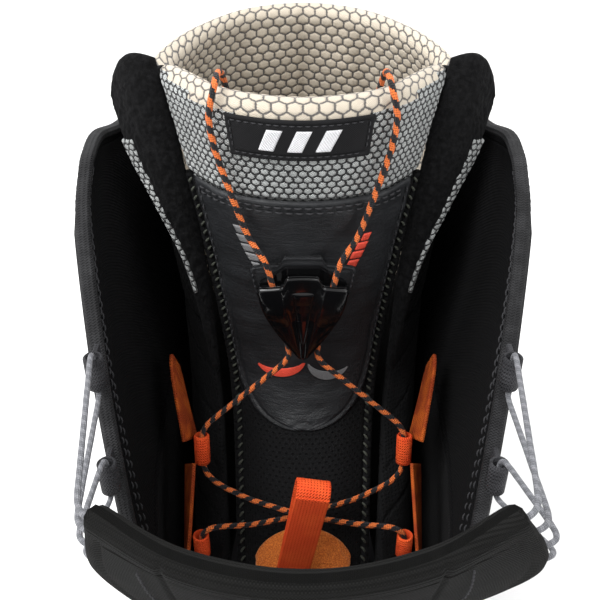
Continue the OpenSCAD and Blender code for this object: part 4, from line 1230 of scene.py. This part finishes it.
def overlays():
    """The rubber pieces round the shell, from the toe to the heel and up its sides."""
    def cap(s, t, edge):
        ribs = 0.5 * (np.cos(2 * math.pi * t / 5.0) > 0.1) * (t < 20)
        return ribs + 0.05 * lumps(s, t, 2, 45)

    def double_line(s, t, edge):
        return -0.9 * groove(edge - 6, 1.0) - 0.7 * groove(edge - 12, 0.8)

    def ladder(s, t, edge):
        return -0.7 * groove(edge - 3, 0.6) + 0.5 * (np.cos(t / 1.6) > 0.4) * (np.abs(s) < 3)

    def ribs(s, t, edge):
        return -0.8 * groove(edge - 4.5, 0.9) + 0.35 * (np.cos(t / 1.3) > 0.5) * (edge > 7)

    rubber("toe_bumper", vamp_face, spread(0, 1.34, 90), spread(-0.74, 0.74, 220), 0.1, 2.3, 1.4, cap,
           lambda u, v: (u, v * (1.0 - 0.14 * (u / 1.3) ** 3)))
    rubber("heel_counter", shell_face, spread(0, 2.25, 90), spread(-0.46, 0.46, 180), 0.1, 2.3, 1.4,
           double_line, lambda u, v: (u * (1 - 0.12 * (v / 0.46) ** 2), v))
    rubber("backstay", shell_face, spread(2.3, 8.86, 160), spread(-0.105, 0.105, 30, 0.1), 0.1, 2.2, 1.2,
           ladder, lambda u, v: (u, v * (1 - 0.35 * np.sin((u - 2.3) / 6.5 * math.pi))))
    for side, sign in SIDES:
        vs = sorted((sign * 0.87, sign * 0.99))
        rubber(f"eyestay_{side}", shell_face, spread(2.3, 7.9, 180), spread(*vs, 14, 0.1), 0.1, 1.7, 1.0,
               lambda s, t, edge: -0.4 * groove(edge - 2.2, 0.5))
        vs = sorted((sign * 0.48, sign * 0.8))
        rubber(f"ankle_wing_{side}", shell_face, spread(1.2, 4.6, 110), spread(*vs, 50, 0.06), 0.5, 2.3, 1.4,
               ribs, lambda u, v: (u, v + sign * 0.05 * np.sin(np.radians((u - 1.2) * 90))))


def cuffs():
    """Spread cuffs: coated fabric outside, dark brushed lining inside, bound with folded tape."""
    def seams(s, t, edge):
        return -0.7 * groove(edge - 7, 0.9) + 0.10 * lumps(s, t, 3, 51) - 0.5 * groove(t - 58 - 0.1 * s, 0.8)

    def lining(s, t, edge):
        return -0.5 * groove(edge - 6, 0.8) + 0.25 * lumps(s, t, 14, 52)

    u = steps(4.02, 8.86, 90)
    corner = math.pi / 2 * steps(0, 1, 12)
    edge_u = np.concatenate([u, 8.86 + 0.14 * np.sin(corner), np.full(70, 9.0)])
    edge_v = np.concatenate([np.full(91, 1.0), 0.965 + 0.035 * np.cos(corner), np.linspace(0.96, 0.02, 70)])
    for side, sign in SIDES:
        vs = sorted((sign * 0.01, sign * 1.0))
        cover(f"cuff_{side}_wall", shell_face, spread(3.99, 9, 190), spread(*vs, 200), -3.4, 0,
              "shell_fabric", rim=1.7, relief=seams, low_relief=lining,
              paint=lambda u, v, s, t, low: 0 * u + low, paints=("shell_fabric", "cuff_lining"),
              replaces=[f"cuff_{side}"])
        bound_edge(f"cuff_{side}_binding", shell_face, edge_u, sign * edge_v, -1.7)
        for k, inset in enumerate((0.045, 0.075)):
            seam(f"cuff_{side}_stitches_{k + 1}", shell_face, u, sign * (1 - inset), -3.5, (2.6, 1.3, 0.7),
                 "shell_fabric", inside=True)


def lace_loops():
    """Webbing tubes on the cuffs' edges that carry the shell laces, each with a tail sewn behind it."""
    for side, sign in SIDES:
        for level, at in (("upper", UPPER_LOOP), ("lower", LOWER_LOOP)):
            x, y, z = sign * at[0], at[1], at[2]
            name = f"lace_loop_{side}_{level}"
            sleeve = lathe(f"{name}_sleeve", tube_wall(6, 3.1, 2.6, 0.1), (x, y, z), (0, 0, 1), 32)
            dress(sleeve, "webbing_grey", replaces=[name])
            line = evenly([(x, y + 2.6, z), (x, y + 6.4, z)], 0.5)[0]
            tape(f"{name}_tail", line, 12, 1.7, "webbing_grey", side=(0, 0, 1.0))


def shell_tongue():
    """Padded shell tongue, folded forward, with a sewn line down each side and round its hem."""
    def seams(s, t, edge):
        hem = -0.7 * groove(edge - 7.5, 0.8)
        side = -0.8 * groove(np.abs(s) - 34, 0.9) * (t > 30)
        soft = 0.35 * lumps(s, t, 17, 61)
        return hem + side + soft

    cover("shell_tongue_pad", front_face, spread(0, 4, 260, 0.06), spread(-1, 1, 230, 0.06), -2.4, 5.2,
          "ripstop_black", rim=3.6, relief=seams, swell=front_swell,
          low_relief=lambda s, t, edge: 0.3 * lumps(s, t, 15, 62) - 0.4 * groove(edge - 7, 0.8),
          body="shell_tongue", replaces=["shell_tongue_body", "shell_tongue_cover"], fill=0.6)
    for side, sign in SIDES:
        seam(f"shell_tongue_stitches_{side}", front_face, steps(1.4, 3.82, 60), sign * 0.66, 6.0,
             (2.4, 1.1, 0.6), "ripstop_black", body="shell_tongue")


def heel_loop():
    """Finger loop at the heel: a tape sewn down at both ends."""
    base = shell_face.off(7.3, 0, 0.8 + 2 + 6.6)
    out = shell_face.outward(7.3, 0)
    up = shell_face.place(7.32, 0) - shell_face.place(7.28, 0)
    up /= np.linalg.norm(up)
    half = [(-5.2, -22.3), (-3.4, -22.2), (0.5, -21), (4.2, -17.5), (5.1, -10)]
    rows = half + [(5.2, 0)] + [(a, -b) for a, b in half[::-1]]
    tape("heel_loop_tape", smooth([base + out * a + up * b for a, b in rows], 10), 18, 1.5, "webbing_black",
         replaces=["heel_loop"])
    tape("heel_loop_base", np.array([base + out * -5.2 + up * b for b in (-22.4, 0, 22.4)]), 17.6, 1.4,
         "webbing_black")


# ---------------------------------------------------------------- sole
def sole_ring(inset, count=360):
    """Outline of the sole, evenly spaced, moved in by inset."""
    half = smooth([(x, y, 0) for x, y in SOLE], 12)
    ring = np.concatenate([half, half[-2:0:-1] * MIRROR])
    ring = evenly(np.concatenate([ring, ring[:1]]), 0.5)[0]
    at = np.linspace(0, len(ring) - 1, count + 1)[:-1]
    ring = np.stack([np.interp(at, np.arange(len(ring)), ring[:, c]) for c in range(2)], axis=1)
    way = np.roll(ring, -1, 0) - np.roll(ring, 1, 0)
    normal = np.stack([-way[:, 1], way[:, 0]], 1) / np.linalg.norm(way, axis=1, keepdims=True)
    if np.sum((ring - ring.mean(0)) * normal) < 0:
        normal = -normal
    ring = ring - normal * inset
    ring[:, 0] += np.where(ring[:, 1] < -60, TOE_TURN * (np.clip(-60 - ring[:, 1], 0, None) / 92) ** 1.5, 0)
    return ring


def band(name, levels, slot, relief, replaces=()):
    """A closed band round the sole from (inset, height) levels, with its lid and floor."""
    rings = []
    for inset, z in levels:
        ring = sole_ring(inset)
        k = np.arange(len(ring))
        mid = ring.mean(0)
        out = (ring - mid) / np.linalg.norm(ring - mid, axis=1, keepdims=True)
        rings.append(np.column_stack([ring + out * relief(k / len(k), z)[:, None], np.full(len(ring), z)]))
    n, m = len(rings), len(rings[0])
    faces = []
    for i in range(n - 1):
        low, high = i * m, (i + 1) * m
        faces += [(low + j, low + (j + 1) % m, high + (j + 1) % m, high + j) for j in range(m)]
    faces += [tuple(range(m))[::-1], tuple((n - 1) * m + j for j in range(m))]
    uvs = [(p[0], p[1]) for ring in rings for p in ring]
    piece = make_mesh(name, np.concatenate(rings), faces, uvs)
    piece.data.polygons[-1].use_smooth = piece.data.polygons[-2].use_smooth = False
    dress(piece, slot, replaces=replaces)


def sole():
    """Foam midsole with moulded side grooves over the lugged rubber outsole."""
    def waves(turn, z):
        return -0.5 * groove((z - 17.5) - 2.2 * np.sin(turn * 2 * math.pi * 3), 1.1)

    wall = [(2.5, z) for z in np.linspace(12.2, 24.8, 28)]
    band("midsole_wall", [(3.4, 11.02), (2.7, 11.6), *wall, (2.8, 25.6), (3.6, 25.98)], "midsole_foam", waves,
         replaces=["midsole"])

    def blocks(turn, z):
        cut = np.cos(turn * 2 * math.pi * 46)
        return -1.5 * np.clip((cut - 0.55) / 0.15, 0, 1) * np.clip((8.6 - z) / 1.0, 0, 1)

    wall = [(0.9 if z < 4.6 else 0.4, z) for z in np.linspace(4.3, 10.4, 20)]
    band("outsole_wall", [(1.6, 4.02), *wall, (0.9, 10.98)], "rubber_black", blocks)


# ---------------------------------------------------------------- floor and light
def studio():
    """Pale floor, white surroundings and four soft lamps."""
    corners = [(0, 0), (1, 0), (1, 1), (0, 1)]
    half, low = 3000, -0.2
    floor = make_mesh("floor", [((2 * a - 1) * half, (2 * b - 1) * half, low) for a, b in corners],
                      [(0, 1, 2, 3)], corners)
    white = Shader("floor_white", Roughness=0.9, Base_Color=(0.93, 0.93, 0.93))
    floor.data.materials.append(white.material)
    world = bpy.data.worlds.new("studio")
    world.use_nodes = True
    world.node_tree.nodes["Background"].inputs[0].default_value = (1, 1, 1, 1)
    world.node_tree.nodes["Background"].inputs[1].default_value = 0.9
    bpy.context.scene.world = world
    bpy.context.scene.view_settings.view_transform = "Standard"
    for name, place, aim, size, power in (("key", (-0.55, -0.65, 1.25), (0, 0, 0.25), 0.7, 11.0),
                                          ("fill", (0.9, -0.5, 0.8), (0, -0.02, 0.22), 0.8, 4.0),
                                          ("back", (0.2, 1.0, 1.1), (0, 0.03, 0.25), 0.9, 8.0),
                                          ("side", (-0.6, 0, 1.0), (0.04, 0.08, 0.27), 0.4, 6.0)):
        lamp = bpy.data.lights.new(name, "AREA")
        lamp.size, lamp.energy = size, power
        light = bpy.data.objects.new(name, lamp)
        light.location = place
        light.rotation_euler = (Vector(aim) - Vector(place)).to_track_quat("-Z", "Y").to_euler()
        bpy.context.scene.collection.objects.link(light)


tongue_pad()
tongue_panel()
tongue_edges()
label()
prints()
lock_body()
lock_wedge()
lock_spring()
lock_patch()
liner_shell()
collar()
liner_pull_loop()
lapels()
straps()
pull_tab()
inner_handle()
upper()
overlays()
cuffs()
lace_loops()
shell_tongue()
heel_loop()
sole()
studio()
